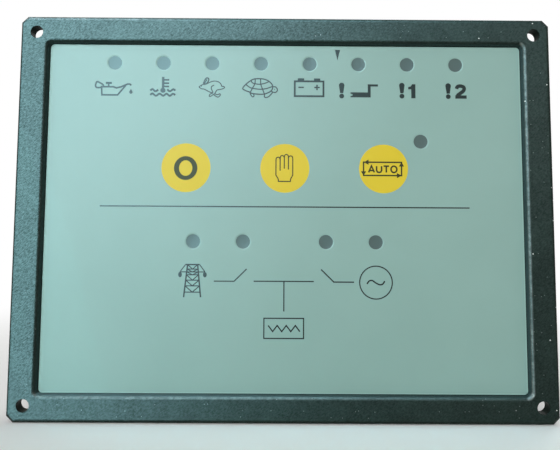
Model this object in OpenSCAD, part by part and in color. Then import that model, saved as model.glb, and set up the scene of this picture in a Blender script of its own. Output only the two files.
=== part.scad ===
// Panel-mounted generator set controller: moulded bezel, printed facia film, one circuit board and a
// stepped rear case with plug-in terminal headers.
// It is drawn lying on its back, with z towards the reader and the panel face at z = 0, and stood up last.

/* [Bezel] */
// Width of the bezel, a standard panel instrument size
bezel_w = 192; // [180:1:210]
// Height of the bezel
bezel_h = 144; // [138:1:160]
// Thickness of the bezel in front of the panel
bezel_t = 4.2; // [3.8:0.1:6]
// Cut across each outer corner, along both edges
corner_cut = 2.2; // [1:0.1:4]
// Rounding of the outer front edge
edge_round = 1.4; // [0.5:0.1:1.8]
// Slope of the outer sides, in degrees
side_draft = 1.5; // [0:0.5:4]
// Border between the outer edge and the facia film, top and bottom
rim_w = 9.8; // [9:0.1:11.5]
// Border between the outer edge and the facia film, left and right
rim_side = 10.3; // [9:0.1:11.5]

/* [Panel fixing] */
// Fixing hole centre to outer edge, both ways
hole_inset = 6; // [5:0.25:6.75]
// Diameter of the fixing holes
hole_d = 4.5; // [3.5:0.1:5]
// Width of the flange that lies on the panel
seat_w = 9.5; // [8.5:0.25:10.5]
// Depth of the hollows moulded into the back of the flange
core_depth = 2.2; // [1.5:0.1:2.8]
// Ribs between those hollows
core_rib = 1.6; // [1:0.1:3]
// Solid land on each side of the hollows
core_land = 2.2; // [1.6:0.1:3]
// Hollows along the width
core_n_w = 6; // [3:1:8]
// Hollows along the height
core_n_h = 4; // [2:1:6]

/* [Facia] */
// Thickness of the printed film
film_t = 0.5; // [0.3:0.05:0.8]
// Corner radius of the film
film_corner_r = 1.4; // [0.8:0.1:3]
// Gap between the film and the wall round it
film_gap = 0.1; // [0.05:0.05:0.3]
// How far the film lies below the bezel's front
recess_depth = 2.4; // [1.8:0.1:3]
// Slope of the wall round the film, in degrees
recess_slope = 9; // [4:1:15]
// Rounding at the top of that wall
recess_edge_r = 1.2; // [0.4:0.1:1.6]
// Thickness of the web behind the film
web_t = 2.5; // [1.8:0.1:3.2]

/* [Indicators] */
// Body diameter of an indicator lamp
led_d = 5; // [3:0.1:5.5]
// Height of an indicator lamp above the board
led_l = 8.6; // [7.6:0.1:10]
// Flange at a lamp's foot, wider than its body by this much all round
led_flange = 0.4; // [0.2:0.05:0.6]
// Thickness of that flange
led_flange_t = 1; // [0.6:0.1:1.4]
// Side of a lamp's square leads
led_lead = 0.5; // [0.4:0.05:0.6]
// Pitch of a lamp's two leads
led_lead_pitch = 2.54; // [2:0.02:2.8]
// Gap between a lamp and its hole
led_clear = 0.2; // [0.1:0.05:0.4]
// Gap between a lamp's tip and the film
led_tip_gap = 0.3; // [0.1:0.05:0.6]
// Pitch of the alarm lamps
led_pitch = 17.75; // [15:0.25:19]
// Film's top edge to the row of alarm lamps
led_row_drop = 6.7; // [6.5:0.1:9]
// Film's centre to the row of mimic lamps, below it
mimic_drop = 9.25; // [6:0.25:12]
// Film's centre to the inner mimic lamps
mimic_inner_x = 14.8; // [10:0.1:18]
// Film's centre to the outer mimic lamps
mimic_outer_x = 32.6; // [28:0.1:40]

/* [Keys] */
// Pitch of the three keys
key_pitch = 35.6; // [28:0.2:40]
// Film's centre to the row of keys, above it
key_rise = 17.15; // [12:0.05:20]
// Auto key to its lamp, sideways
auto_lamp_x = 13.5; // [11:0.1:17]
// Auto key to its lamp, upwards
auto_lamp_y = 10; // [7:0.1:13]
// Side of a square key switch
switch_w = 6; // [5:0.1:7]
// Height of a key switch's base
switch_h = 3.2; // [2.6:0.1:4]
// Thickness of a key switch's metal cover
cover_t = 0.3; // [0.2:0.05:0.5]
// Diameter of a switch plunger
plunger_d = 3.5; // [2.5:0.1:4]
// Collar that keeps the plunger in, wider than it by this much all round
collar_lip = 0.45; // [0.3:0.05:0.6]
// Thickness of that collar
collar_t = 0.6; // [0.4:0.1:0.9]
// Gap between the plunger and the film at rest
key_gap = 0.1; // [0.05:0.05:0.3]
// Running gap round the plunger
plunger_clear = 0.05; // [0.03:0.01:0.1]
// Travel left free below the collar
key_room = 0.9; // [0.5:0.1:1.2]
// Room left round the collar by the hole in the web
key_hole_gap = 0.8; // [0.4:0.1:1.2]

/* [Board] */
// Thickness of the circuit board
board_t = 1.6; // [1:0.1:2.4]
// Gap between the board and the wall round it
board_gap = 0.3; // [0.2:0.05:0.5]
// Board's edge to its fixing holes, both ways
boss_inset = 6; // [5:0.25:8]
// Diameter of the fixing bosses
boss_d = 6.8; // [6:0.1:8]

/* [Rear case] */
// Wall of the case and the skirt
wall = 2.4; // [2:0.1:3]
// Outer corner radius of the case and the skirt
case_r = 4; // [3:0.25:6]
// Case stands in from the skirt by this much all round
case_set = 0.2; // [0.1:0.05:0.4]
// Board's back to the joint between skirt and case
split_drop = 2; // [1.8:0.1:3]
// Depth of the tongue that centres the case
tongue_l = 1.5; // [1:0.1:1.6]
// Gap round that tongue
tongue_gap = 0.15; // [0.1:0.05:0.3]
// Joint to the connector shelf
shelf_rise = 5; // [4.4:0.1:6]
// Case's edge to the raised middle, top and bottom
shelf_w = 26.5; // [25:0.25:28]
// Case's edge to the raised middle, left and right
hump_inset = 8; // [6:0.25:10]
// Shelf to the rear face of the raised middle
hump_d = 17; // [15.5:0.25:22]
// Corner radius of the raised middle
hump_r = 5; // [4:0.25:8]
// Rounding of the raised middle's rear edge
hump_edge_r = 1.5; // [0.8:0.1:2]
// Vent slots in each of the two groups
vent_n = 9; // [5:1:11]
// Width of a vent slot
vent_w = 2.2; // [1.6:0.1:3]
// Length of a vent slot
vent_l = 34; // [20:1:44]
// Pitch of the vent slots
vent_pitch = 5; // [4:0.1:6]
// Centre to the middle of each group of slots
vent_x = 38; // [34:0.5:42]

/* [Case screws] */
// Shank diameter
screw_d = 2.9; // [2.5:0.1:3]
// Head diameter
head_d = 5.6; // [4.8:0.1:5.8]
// Head height
head_h = 1.6; // [1.2:0.1:1.8]
// Width of the cross in a head
cross_w = 0.95; // [0.7:0.05:1.2]
// Length of that cross
cross_l = 3.1; // [2.4:0.1:4]
// Gap between the web and a screw's tip
tip_gap = 1; // [0.6:0.1:2]
// Gap between the shank and the holes it passes
screw_clear = 0.2; // [0.15:0.05:0.3]
// Gap between the shank and the boss it bites in, where the thread is left out
thread_clear = 0.05; // [0.02:0.01:0.08]

/* [Terminal headers] */
// Pitch of the control terminals
signal_pitch = 5.08; // [4.6:0.02:5.3]
// Control terminals in a header
signal_n = 8; // [5:1:9]
// Pitch of the mains voltage terminals
power_pitch = 7.62; // [6.6:0.02:8]
// Mains voltage terminals in a header
power_n = 5; // [3:1:6]
// Width of a header across its row
header_w = 11.2; // [10.8:0.1:12]
// Height of a header above the board
header_h = 12; // [11:0.1:14]
// Wall of a header's shroud
header_wall = 1.1; // [0.8:0.1:1.3]
// Floor of a header's shroud
header_floor = 2.5; // [2:0.1:3]
// Solid end beyond the last terminal
header_end = 1.4; // [1.3:0.1:2.5]
// Width of the notch at each terminal, in the shroud's outer wall
notch_w = 2.4; // [1.6:0.1:3]
// Depth of that notch from the shroud's mouth
notch_l = 3.5; // [2:0.25:5]
// Gap between the raised middle and a header
header_gap = 2.2; // [1.5:0.1:3]
// Gap between a header and its cut-out
header_clear = 0.3; // [0.2:0.05:0.5]
// Centre of the case to the centre of a header
header_x = 36; // [33:0.5:40]
// Side of a square contact pin
pin_w = 1; // [0.8:0.05:1.2]
// Shroud's inner side to the row of pins
pin_offset = 3.2; // [2.6:0.1:3.4]
// Shroud's mouth to the pin's end
pin_sink = 2; // [1:0.1:3]
// Pin's tail beyond the board
pin_tail = 1.4; // [0.8:0.1:2]
// Gap between a pin or lead and its hole
pin_clear = 0.1; // [0.05:0.05:0.2]

/* [Board components] */
// Relay length along the width
relay_w = 19; // [15:0.5:21]
// Relay width
relay_d = 15.5; // [12:0.5:18]
// Relay height
relay_h = 15.3; // [12:0.1:17]
// Corner radius of a relay
relay_r = 1; // [0.5:0.1:2]
// Pitch of the two relays in a pair
relay_pitch = 24; // [22:0.5:26]
// Centre of the board to the middle of each pair of relays
relay_pair_x = 46; // [43:0.5:48]
// Centre of the board to the row of relays, upwards
relay_rise = 16; // [13:0.5:19]
// Centre of the board to the row of supply components, downwards
supply_drop = 16; // [13:0.5:19]
// Diameter of the reservoir capacitor
cap_d = 12.5; // [10:0.5:14]
// Height of the reservoir capacitor
cap_h = 18; // [14:0.5:20]
// Depth of the neck crimped into the capacitor
cap_neck = 0.5; // [0.3:0.05:0.8]
// Board to the middle of that neck
cap_neck_z = 2; // [1.5:0.1:3]
// Side of the square microcontroller
chip_w = 16.6; // [12:0.2:20]
// Height of the microcontroller
chip_h = 3.8; // [2:0.1:4.4]
// Cut corner that marks the microcontroller's first pin
chip_cut = 1.6; // [1:0.1:2.5]
// Length of the clock crystal
crystal_l = 11; // [9:0.5:13]
// Width of the clock crystal
crystal_w = 4.6; // [3.5:0.1:6]
// Height of the clock crystal
crystal_h = 3.6; // [2.5:0.1:6]
// Width of the voltage regulator
reg_w = 10; // [8:0.5:12]
// Thickness of the voltage regulator's tab
reg_tab_t = 1.3; // [1:0.1:1.6]
// Thickness of the voltage regulator's body
reg_body_t = 4.5; // [4:0.1:5]
// Height of the voltage regulator above its legs
reg_h = 15; // [13:0.5:16]
// Height of the voltage regulator's body, below its tab
reg_body_h = 9; // [7:0.25:10]
// Diameter of the hole in the voltage regulator's tab
reg_hole_d = 3.8; // [3:0.1:4.5]
// Side of the voltage regulator's square legs
reg_leg_w = 0.8; // [0.6:0.05:1]
// Pitch of the voltage regulator's legs
reg_leg_pitch = 2.54; // [2:0.02:2.8]
// Length of the voltage regulator's legs above the board
reg_leg = 3; // [2:0.25:3.5]

/* [Hidden] */
$fn = 48;
// Overrun of a cut past the face that it opens
eps = 1;

film_w = bezel_w - 2 * rim_side;
film_h = bezel_h - 2 * rim_w;
case_w = bezel_w - 2 * seat_w;
case_h = bezel_h - 2 * seat_w;
inner_w = case_w - 2 * wall;
inner_h = case_h - 2 * wall;
board_w = inner_w - 2 * board_gap;
board_h = inner_h - 2 * board_gap;
hump_w = case_w - 2 * hump_inset;
hump_h = case_h - 2 * shelf_w;
hollow_r = case_r - wall / 2;

// Heights, from the front backwards
front_z = bezel_t;
film_z = front_z - recess_depth;
web_z = film_z - film_t;
web_back = web_z - web_t;
board_z = web_z - led_tip_gap - led_l;
board_back = board_z - board_t;
split_z = board_back - split_drop;
shelf_z = split_z - shelf_rise;
hump_z = shelf_z - hump_d;
head_seat_z = shelf_z + head_h;
header_z = board_back - header_h;
screw_tip_z = web_back - tip_gap;
switch_top = board_z + switch_h;

hole_x = bezel_w / 2 - hole_inset;
hole_y = bezel_h / 2 - hole_inset;
boss_x = board_w / 2 - boss_inset;
boss_y = board_h / 2 - boss_inset;
header_y = hump_h / 2 + header_gap + header_w / 2;
pin_y = hump_h / 2 + header_gap + header_wall + pin_offset;
reg_x = relay_pitch / 2 - relay_pair_x;
collar_d = plunger_d + 2 * collar_lip;
// Well that a plunger's collar moves in
well_d = collar_d + 4 * plunger_clear;

alarm_names = [
    "oil_pressure_lamp", "coolant_heat_lamp", "overspeed_lamp", "underspeed_lamp",
    "charge_fault_lamp", "start_fault_lamp", "spare_alarm_one_lamp", "spare_alarm_two_lamp"
];
alarm_y = film_h / 2 - led_row_drop;
key_x = [-key_pitch, 0, key_pitch];

// Name, place and lens colour of each lamp
lamps = concat(
    [for (i = [0:len(alarm_names) - 1])
        [alarm_names[i], (i - (len(alarm_names) - 1) / 2) * led_pitch, alarm_y, "firebrick"]],
    [
        ["auto_lamp", key_pitch + auto_lamp_x, key_rise + auto_lamp_y, "firebrick"],
        ["mains_ready_lamp", -mimic_outer_x, -mimic_drop, "seagreen"],
        ["mains_load_lamp", -mimic_inner_x, -mimic_drop, "goldenrod"],
        ["generator_load_lamp", mimic_inner_x, -mimic_drop, "goldenrod"],
        ["generator_ready_lamp", mimic_outer_x, -mimic_drop, "seagreen"]
    ]
);

// Name and place of each key
keys = [["stop", key_x[0]], ["manual", key_x[1]], ["auto", key_x[2]]];

// Name, terminals, pitch, place along the width, and side of the raised middle, of each header
headers = [
    ["supply", signal_n, signal_pitch, -header_x, -1],
    ["engine", signal_n, signal_pitch, header_x, -1],
    ["mains", power_n, power_pitch, -header_x, 1],
    ["generator", power_n, power_pitch, header_x, 1]
];

// Name and place of each relay
relays = [
    ["fuel_relay", -relay_pair_x - relay_pitch / 2],
    ["start_relay", -relay_pair_x + relay_pitch / 2],
    ["mains_relay", relay_pair_x - relay_pitch / 2],
    ["generator_relay", relay_pair_x + relay_pitch / 2]
];

// Shapes that repeat

// Stands a shape up: its front faces -y and its top points to +z
module upright() {
    rotate([90, 0, 0]) children();
}

// Flat rectangle with round corners
module rounded_rect(w, h, r) {
    square([w - 2 * r, h], center = true);
    square([w, h - 2 * r], center = true);
    for (sx = [-1, 1], sy = [-1, 1])
        translate([sx * (w / 2 - r), sy * (h / 2 - r)]) circle(r);
}

// Block with round upright corners, from the lower to the upper height
module rounded_block(w, h, r, z_low, z_high) {
    translate([0, 0, z_low]) linear_extrude(z_high - z_low) rounded_rect(w, h, r);
}

// Carries a flat section round a rectangle with round corners: x points outwards from its edge, y is up
module rim_sweep(w, h, r, z) {
    for (side = [0:3]) {
        along = side % 2 == 0 ? h : w;
        across = side % 2 == 0 ? w : h;
        rotate(90 * side) {
            translate([across / 2, along / 2 - r, z])
                rotate([90, 0, 0]) linear_extrude(along - 2 * r) children();
            translate([across / 2 - r, along / 2 - r, z])
                rotate_extrude(angle = 90) translate([r, 0]) children();
        }
    }
}

// Puts a shape at all four places that mirror one corner
module at_corners(x, y) {
    for (sx = [-1, 1], sy = [-1, 1]) translate([sx * x, sy * y, 0]) children();
}

// Upright cylinder between two heights
module post(d, z_low, z_high) {
    translate([0, 0, z_low]) cylinder(d = d, h = z_high - z_low);
}

// Upright square bar between two heights
module bar(w, z_low, z_high) {
    translate([-w / 2, -w / 2, z_low]) cube([w, w, z_high - z_low]);
}

// Bezel

// Outline of the bezel, with its corners cut, drawn in from its edge all round
module bezel_outline(inset) {
    x = bezel_w / 2 - inset;
    y = bezel_h / 2 - inset;
    c = corner_cut;
    polygon([
        [x - c, -y], [x, c - y], [x, y - c], [x - c, y],
        [c - x, y], [-x, y - c], [-x, c - y], [c - x, -y]
    ]);
}

// Solid flange with sloping sides and a rounded front edge
module flange() {
    slice = 0.01;
    edge_steps = 4;
    lean = tan(side_draft);
    hull() {
        linear_extrude(slice) bezel_outline(0);
        for (i = [0:edge_steps]) {
            turn = 90 * i / edge_steps;
            height = front_z - edge_round * (1 - sin(turn));
            inset = (front_z - edge_round) * lean + edge_round * (1 - cos(turn));
            translate([0, 0, height - slice]) linear_extrude(slice) bezel_outline(inset);
        }
    }
}

// Section of what is cut away beside the film: a sloping wall with a rounded top
module recess_section() {
    depth = front_z - web_z;
    reach = recess_edge_r / tan(45 + recess_slope / 2);
    edge_x = depth * tan(recess_slope);
    wall_top = [edge_x - reach * sin(recess_slope), depth - reach * cos(recess_slope)];
    centre = [edge_x + reach, depth - recess_edge_r];
    inside = -film_corner_r / 2;
    difference() {
        polygon([
            [inside, 0], [0, 0], wall_top, centre, [centre[0], depth],
            [centre[0], depth + eps], [inside, depth + eps]
        ]);
        translate(centre) circle(recess_edge_r);
    }
}

// Sunk field that takes the film
module recess() {
    w = film_w + 2 * film_gap;
    h = film_h + 2 * film_gap;
    r = film_corner_r + film_gap;
    rounded_block(w, h, r, web_z, front_z + eps);
    rim_sweep(w, h, r, web_z) recess_section();
}

// Hollows in the back of the flange along one of its sides
module core_row(span, n, side_y) {
    length = (span - (n - 1) * core_rib) / n;
    width = seat_w - 2 * core_land;
    for (i = [0:n - 1])
        translate([(i - (n - 1) / 2) * (length + core_rib), side_y, -eps])
            linear_extrude(core_depth + eps) square([length, width], center = true);
}

// All hollows in the back of the flange, kept clear of the fixing holes
module cores() {
    clear = hole_d / 2 + 2 * core_land;
    for (turn = [0, 180]) rotate(turn) {
        core_row(2 * (hole_x - clear), core_n_w, bezel_h / 2 - seat_w / 2);
        rotate(90) core_row(2 * (hole_y - clear), core_n_h, bezel_w / 2 - seat_w / 2);
    }
}

// Bezel moulding: flange, web, skirt and bosses in one piece
module front_bezel() {
    color("#2c3836") difference() {
        union() {
            flange();
            rounded_block(case_w, case_h, case_r, split_z, front_z - edge_round);
        }
        recess();
        difference() {
            rounded_block(inner_w, inner_h, hollow_r, split_z - eps, web_back);
            at_corners(boss_x, boss_y) post(boss_d, board_z, web_back + eps);
        }
        rounded_block(
            case_w - wall, case_h - wall, case_r - wall / 4, split_z - eps, split_z + tongue_l + tongue_gap
        );
        cores();
        at_corners(hole_x, hole_y) post(hole_d, -eps, front_z + eps);
        at_corners(boss_x, boss_y) post(screw_d + 2 * thread_clear, board_z - eps, screw_tip_z + eps / 2);
        for (lamp = lamps)
            translate([lamp[1], lamp[2], 0]) post(led_d + 2 * led_clear, web_back - eps, web_z + eps);
        for (key = keys)
            translate([key[1], key_rise, 0]) post(collar_d + 2 * key_hole_gap, web_back - eps, web_z + eps);
    }
}

// Printed film, bonded to the web
module facia_overlay() {
    color("#93b9b1") rounded_block(film_w, film_h, film_corner_r, web_z, film_z);
}

// Rear case

// Raised middle of the case, drawn in from its outside all round
module hump(inset, z_low, z_high) {
    rounded_block(hump_w - 2 * inset, hump_h - 2 * inset, hump_r - inset, z_low, z_high);
}

// What is cut off the rear edge of the raised middle to round it
module hump_edge() {
    rim_sweep(hump_w, hump_h, hump_r, hump_z) difference() {
        translate([-hump_edge_r, -eps]) square([hump_edge_r + eps, hump_edge_r + eps]);
        translate([-hump_edge_r, hump_edge_r]) circle(hump_edge_r);
    }
}

// Long hole with round ends
module slot(w, l) {
    square([w, l - w], center = true);
    for (end = [-1, 1]) translate([0, end * (l - w) / 2]) circle(d = w);
}

// Two groups of vent slots through the rear face
module vents() {
    for (group = [-1, 1], i = [0:vent_n - 1])
        translate([group * vent_x + (i - (vent_n - 1) / 2) * vent_pitch, 0, hump_z - eps])
            linear_extrude(wall + 2 * eps) slot(vent_w, vent_l);
}

// Tongue that reaches into the skirt and centres the case
module tongue() {
    w = case_w - wall - 2 * tongue_gap;
    h = case_h - wall - 2 * tongue_gap;
    difference() {
        rounded_block(w, h, case_r - wall / 4, split_z - wall / 2, split_z + tongue_l);
        rounded_block(inner_w, inner_h, hollow_r, split_z - wall, split_z + tongue_l + eps);
    }
}

// Case moulding: shelf for the headers, raised middle and four screw pillars in one piece
module rear_case() {
    w = case_w - 2 * case_set;
    h = case_h - 2 * case_set;
    color("#26302e") difference() {
        union() {
            difference() {
                union() {
                    rounded_block(w, h, case_r - case_set, shelf_z, split_z);
                    hump(0, hump_z, shelf_z + wall);
                }
                rounded_block(w - 2 * wall, h - 2 * wall, hollow_r, shelf_z + wall, split_z + eps);
                hump(wall, hump_z + wall, split_z + eps);
                hump_edge();
            }
            tongue();
            at_corners(boss_x, boss_y) post(boss_d, shelf_z + wall / 2, board_back);
        }
        at_corners(boss_x, boss_y) {
            post(screw_d + 2 * screw_clear, shelf_z - eps, board_back + eps);
            post(head_d + 2 * screw_clear, shelf_z - eps, head_seat_z);
        }
        for (header = headers)
            translate([header[3], header[4] * header_y, shelf_z - eps])
                linear_extrude(wall + 2 * eps)
                    square([header_length(header), header_w] + 2 * header_clear * [1, 1], center = true);
        vents();
    }
}

// Pan head screws that clamp case, board and bezel together
module case_screws() {
    color("silver") at_corners(boss_x, boss_y) {
        difference() {
            post(head_d, head_seat_z - head_h + screw_clear, head_seat_z);
            for (turn = [0, 90]) rotate(turn)
                translate([-cross_l / 2, -cross_w / 2, head_seat_z - head_h])
                    cube([cross_l, cross_w, head_h / 2]);
        }
        post(screw_d, head_seat_z, screw_tip_z);
    }
}

// Board and what it carries

// Length of a header over its ends
function header_length(header) = header[1] * header[2] + 2 * header_end;

// Puts a shape at each terminal of a header, a given distance from the case's centre line
module at_ways(header, y) {
    for (i = [0:header[1] - 1])
        translate([header[3] + (i - (header[1] - 1) / 2) * header[2], header[4] * y, 0]) children();
}

// Puts a shape at both leads of a lamp
module at_leads(lamp) {
    for (side = [-1, 1]) translate([lamp[1] + side * led_lead_pitch / 2, lamp[2], 0]) children();
}

// Puts a shape at the three legs of the voltage regulator
module at_legs() {
    for (side = [-1, 0, 1]) translate([reg_x + side * reg_leg_pitch, -supply_drop, 0]) children();
}

// Round hole through the board that takes a square lead
module lead_hole(w) {
    post(w * sqrt(2) + 2 * pin_clear, board_back - eps, board_z + eps);
}

// Circuit board with its fixing and lead holes
module main_board() {
    color("darkgreen") difference() {
        rounded_block(board_w, board_h, hollow_r - board_gap, board_back, board_z);
        at_corners(boss_x, boss_y)
            post(screw_d + 2 * screw_clear, board_back - eps, board_z + eps);
        for (lamp = lamps) at_leads(lamp) lead_hole(led_lead);
        for (header = headers) at_ways(header, pin_y) lead_hole(pin_w);
        at_legs() lead_hole(reg_leg_w);
    }
}

// Lamp with a domed lens, a collar that sits on the board and two leads
module indicator_lamp(lamp) {
    r = led_d / 2;
    color(lamp[3]) {
        translate([lamp[1], lamp[2], board_z]) {
            cylinder(r = r + led_flange, h = led_flange_t);
            cylinder(r = r, h = led_l - r);
            translate([0, 0, led_l - r]) intersection() {
                sphere(r);
                cylinder(r = led_d, h = led_d);
            }
        }
        at_leads(lamp) bar(led_lead, board_back - pin_tail, board_z + led_flange_t / 2);
    }
}

// Square base of a key switch, open at the front
module switch_base(key) {
    color("dimgray") translate([key[1], key_rise, 0]) difference() {
        bar(switch_w, board_z, switch_top);
        post(well_d, switch_top - plunger_clear - collar_t - key_room, switch_top + eps);
    }
}

// Metal plate that closes a key switch round its plunger
module switch_cover(key) {
    color("silver") translate([key[1], key_rise, 0]) difference() {
        bar(switch_w, switch_top, switch_top + cover_t);
        post(plunger_d + 2 * plunger_clear, switch_top - eps, switch_top + cover_t + eps);
    }
}

// Plunger of a key switch, which reaches the back of the film
module switch_plunger(key) {
    collar_top = switch_top - plunger_clear;
    color("black") translate([key[1], key_rise, 0]) {
        post(collar_d, collar_top - collar_t, collar_top);
        post(plunger_d, collar_top - collar_t / 2, web_z - key_gap);
    }
}

// Shroud of a terminal header, open to the rear
module header_shroud(header) {
    length = header_length(header);
    color("seagreen") difference() {
        translate([header[3] - length / 2, header[4] * header_y - header_w / 2, header_z])
            cube([length, header_w, header_h]);
        translate([
            header[3] - length / 2 + header_wall, header[4] * header_y - header_w / 2 + header_wall,
            header_z - eps
        ])
            cube([length - 2 * header_wall, header_w - 2 * header_wall, header_h - header_floor + eps]);
        at_ways(header, header_y + (header_w - header_wall) / 2)
            translate([0, 0, header_z]) cube([notch_w, header_wall + eps, 2 * notch_l], center = true);
        at_ways(header, pin_y) bar(pin_w + 2 * pin_clear, header_z, board_back + eps);
    }
}

// Row of contact pins in a header
module header_pins(header) {
    color("lightgray") at_ways(header, pin_y) bar(pin_w, header_z + pin_sink, board_z + pin_tail);
}

// Sealed relay, standing on the back of the board
module relay(spec) {
    color("#20242c") translate([spec[1], relay_rise, 0])
        rounded_block(relay_w, relay_d, relay_r, board_back - relay_h, board_back);
}

// Round capacitor with a crimped neck near its foot
module reservoir_capacitor() {
    color("slategray") translate([relays[0][1], -supply_drop, 0]) difference() {
        post(cap_d, board_back - cap_h, board_back);
        translate([0, 0, board_back - cap_neck_z])
            rotate_extrude() translate([cap_d / 2, 0]) circle(cap_neck);
    }
}

// Square chip with one corner cut to mark its first pin
module microcontroller() {
    half = chip_w / 2;
    cut = half - chip_cut;
    color("#1c1c1e") translate([0, relay_rise, board_back - chip_h]) linear_extrude(chip_h)
        polygon([[-half, -half], [half, -half], [half, half], [-cut, half], [-half, cut]]);
}

// Oval crystal can, lying on the board below the chip
module clock_crystal() {
    y = relay_rise - chip_w / 2 - crystal_w;
    color("silver") translate([0, y, board_back - crystal_h])
        linear_extrude(crystal_h) rotate(90) slot(crystal_w, crystal_l);
}

// Regulator standing on three legs, with a drilled cooling tab
module voltage_regulator() {
    body_z = board_back - reg_leg;
    color("#303034") {
        translate([reg_x, -supply_drop, 0]) {
            translate([-reg_w / 2, -reg_body_t / 2, body_z - reg_body_h])
                cube([reg_w, reg_body_t, reg_body_h]);
            difference() {
                translate([-reg_w / 2, reg_body_t / 2 - reg_tab_t, body_z - reg_h])
                    cube([reg_w, reg_tab_t, reg_h - reg_leg]);
                translate([0, 0, body_z - (reg_h + reg_body_h) / 2])
                    rotate([90, 0, 0]) cylinder(d = reg_hole_d, h = 2 * reg_body_t, center = true);
            }
        }
        at_legs() bar(reg_leg_w, body_z - reg_leg_w, board_z + pin_tail);
    }
}

upright() front_bezel();
upright() facia_overlay();
upright() rear_case();
upright() main_board();
for (lamp = lamps)
    upright() indicator_lamp(lamp);
for (key = keys) {
    upright() switch_base(key);
    upright() switch_cover(key);
    upright() switch_plunger(key);
}
for (header = headers) {
    upright() header_shroud(header);
    upright() header_pins(header);
}
for (spec = relays)
    upright() relay(spec);
upright() reservoir_capacitor();
upright() microcontroller();
upright() clock_crystal();
upright() voltage_regulator();
upright() case_screws();
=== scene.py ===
"""Looks of a panel-mounted generator set controller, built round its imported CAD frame.

The frame gives every solid. This script prints the facia, finishes each surface and lights the result.
"""

import logging
import math
from contextlib import contextmanager
from dataclasses import dataclass, field
from enum import Enum
from typing import Any, Iterable, Iterator, Sequence, Union

import bmesh
import bpy
from mathutils import Matrix, Vector
from mathutils.geometry import delaunay_2d_cdt, interpolate_bezier


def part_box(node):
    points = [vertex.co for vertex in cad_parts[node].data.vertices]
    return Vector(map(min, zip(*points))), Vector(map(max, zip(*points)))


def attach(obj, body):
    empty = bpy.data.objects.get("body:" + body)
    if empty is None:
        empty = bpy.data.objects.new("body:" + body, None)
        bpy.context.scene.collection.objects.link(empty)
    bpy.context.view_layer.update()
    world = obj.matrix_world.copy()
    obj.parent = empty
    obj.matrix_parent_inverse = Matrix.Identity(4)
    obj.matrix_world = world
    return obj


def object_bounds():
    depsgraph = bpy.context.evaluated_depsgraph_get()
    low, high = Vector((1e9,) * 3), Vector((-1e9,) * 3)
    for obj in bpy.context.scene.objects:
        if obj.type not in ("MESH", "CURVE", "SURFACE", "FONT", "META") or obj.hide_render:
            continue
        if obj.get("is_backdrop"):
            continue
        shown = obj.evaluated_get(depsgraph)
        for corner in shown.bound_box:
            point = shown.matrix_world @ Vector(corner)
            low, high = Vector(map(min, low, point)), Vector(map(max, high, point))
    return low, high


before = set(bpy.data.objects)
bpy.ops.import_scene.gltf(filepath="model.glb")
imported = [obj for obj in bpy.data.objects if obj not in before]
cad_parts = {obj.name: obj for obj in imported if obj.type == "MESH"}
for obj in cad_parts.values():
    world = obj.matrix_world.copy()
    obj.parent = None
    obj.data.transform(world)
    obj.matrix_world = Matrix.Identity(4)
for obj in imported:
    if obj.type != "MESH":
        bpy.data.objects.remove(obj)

MM = 0.001

Colour = tuple[float, float, float]
Point = tuple[float, float]
Span = tuple[float, float]
Band = tuple[float, float, float, float]
Number = Union[float, "Signal"]

log = logging.getLogger("genset_controller")


class Slot(str, Enum):
    """Material slots of the record, which the frame's nodes already carry."""

    BEZEL = "bezel_plastic"
    FILM = "facia_film"
    CASE = "case_plastic"
    BOARD = "board_laminate"
    RED_LENS = "red_lens"
    AMBER_LENS = "amber_lens"
    GREEN_LENS = "green_lens"
    SWITCH = "switch_plastic"
    COVER = "cover_steel"
    PLUNGER = "plunger_plastic"
    HEADER = "header_plastic"
    PIN = "pin_metal"
    RELAY = "relay_plastic"
    CAPACITOR = "capacitor_sleeve"
    CHIP = "chip_epoxy"
    CRYSTAL = "crystal_can"
    REGULATOR = "regulator_epoxy"
    SCREW = "screw_steel"


class Body(str, Enum):
    """Bodies of the frame that new pieces ride on."""

    CONTROLLER = "controller"


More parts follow.
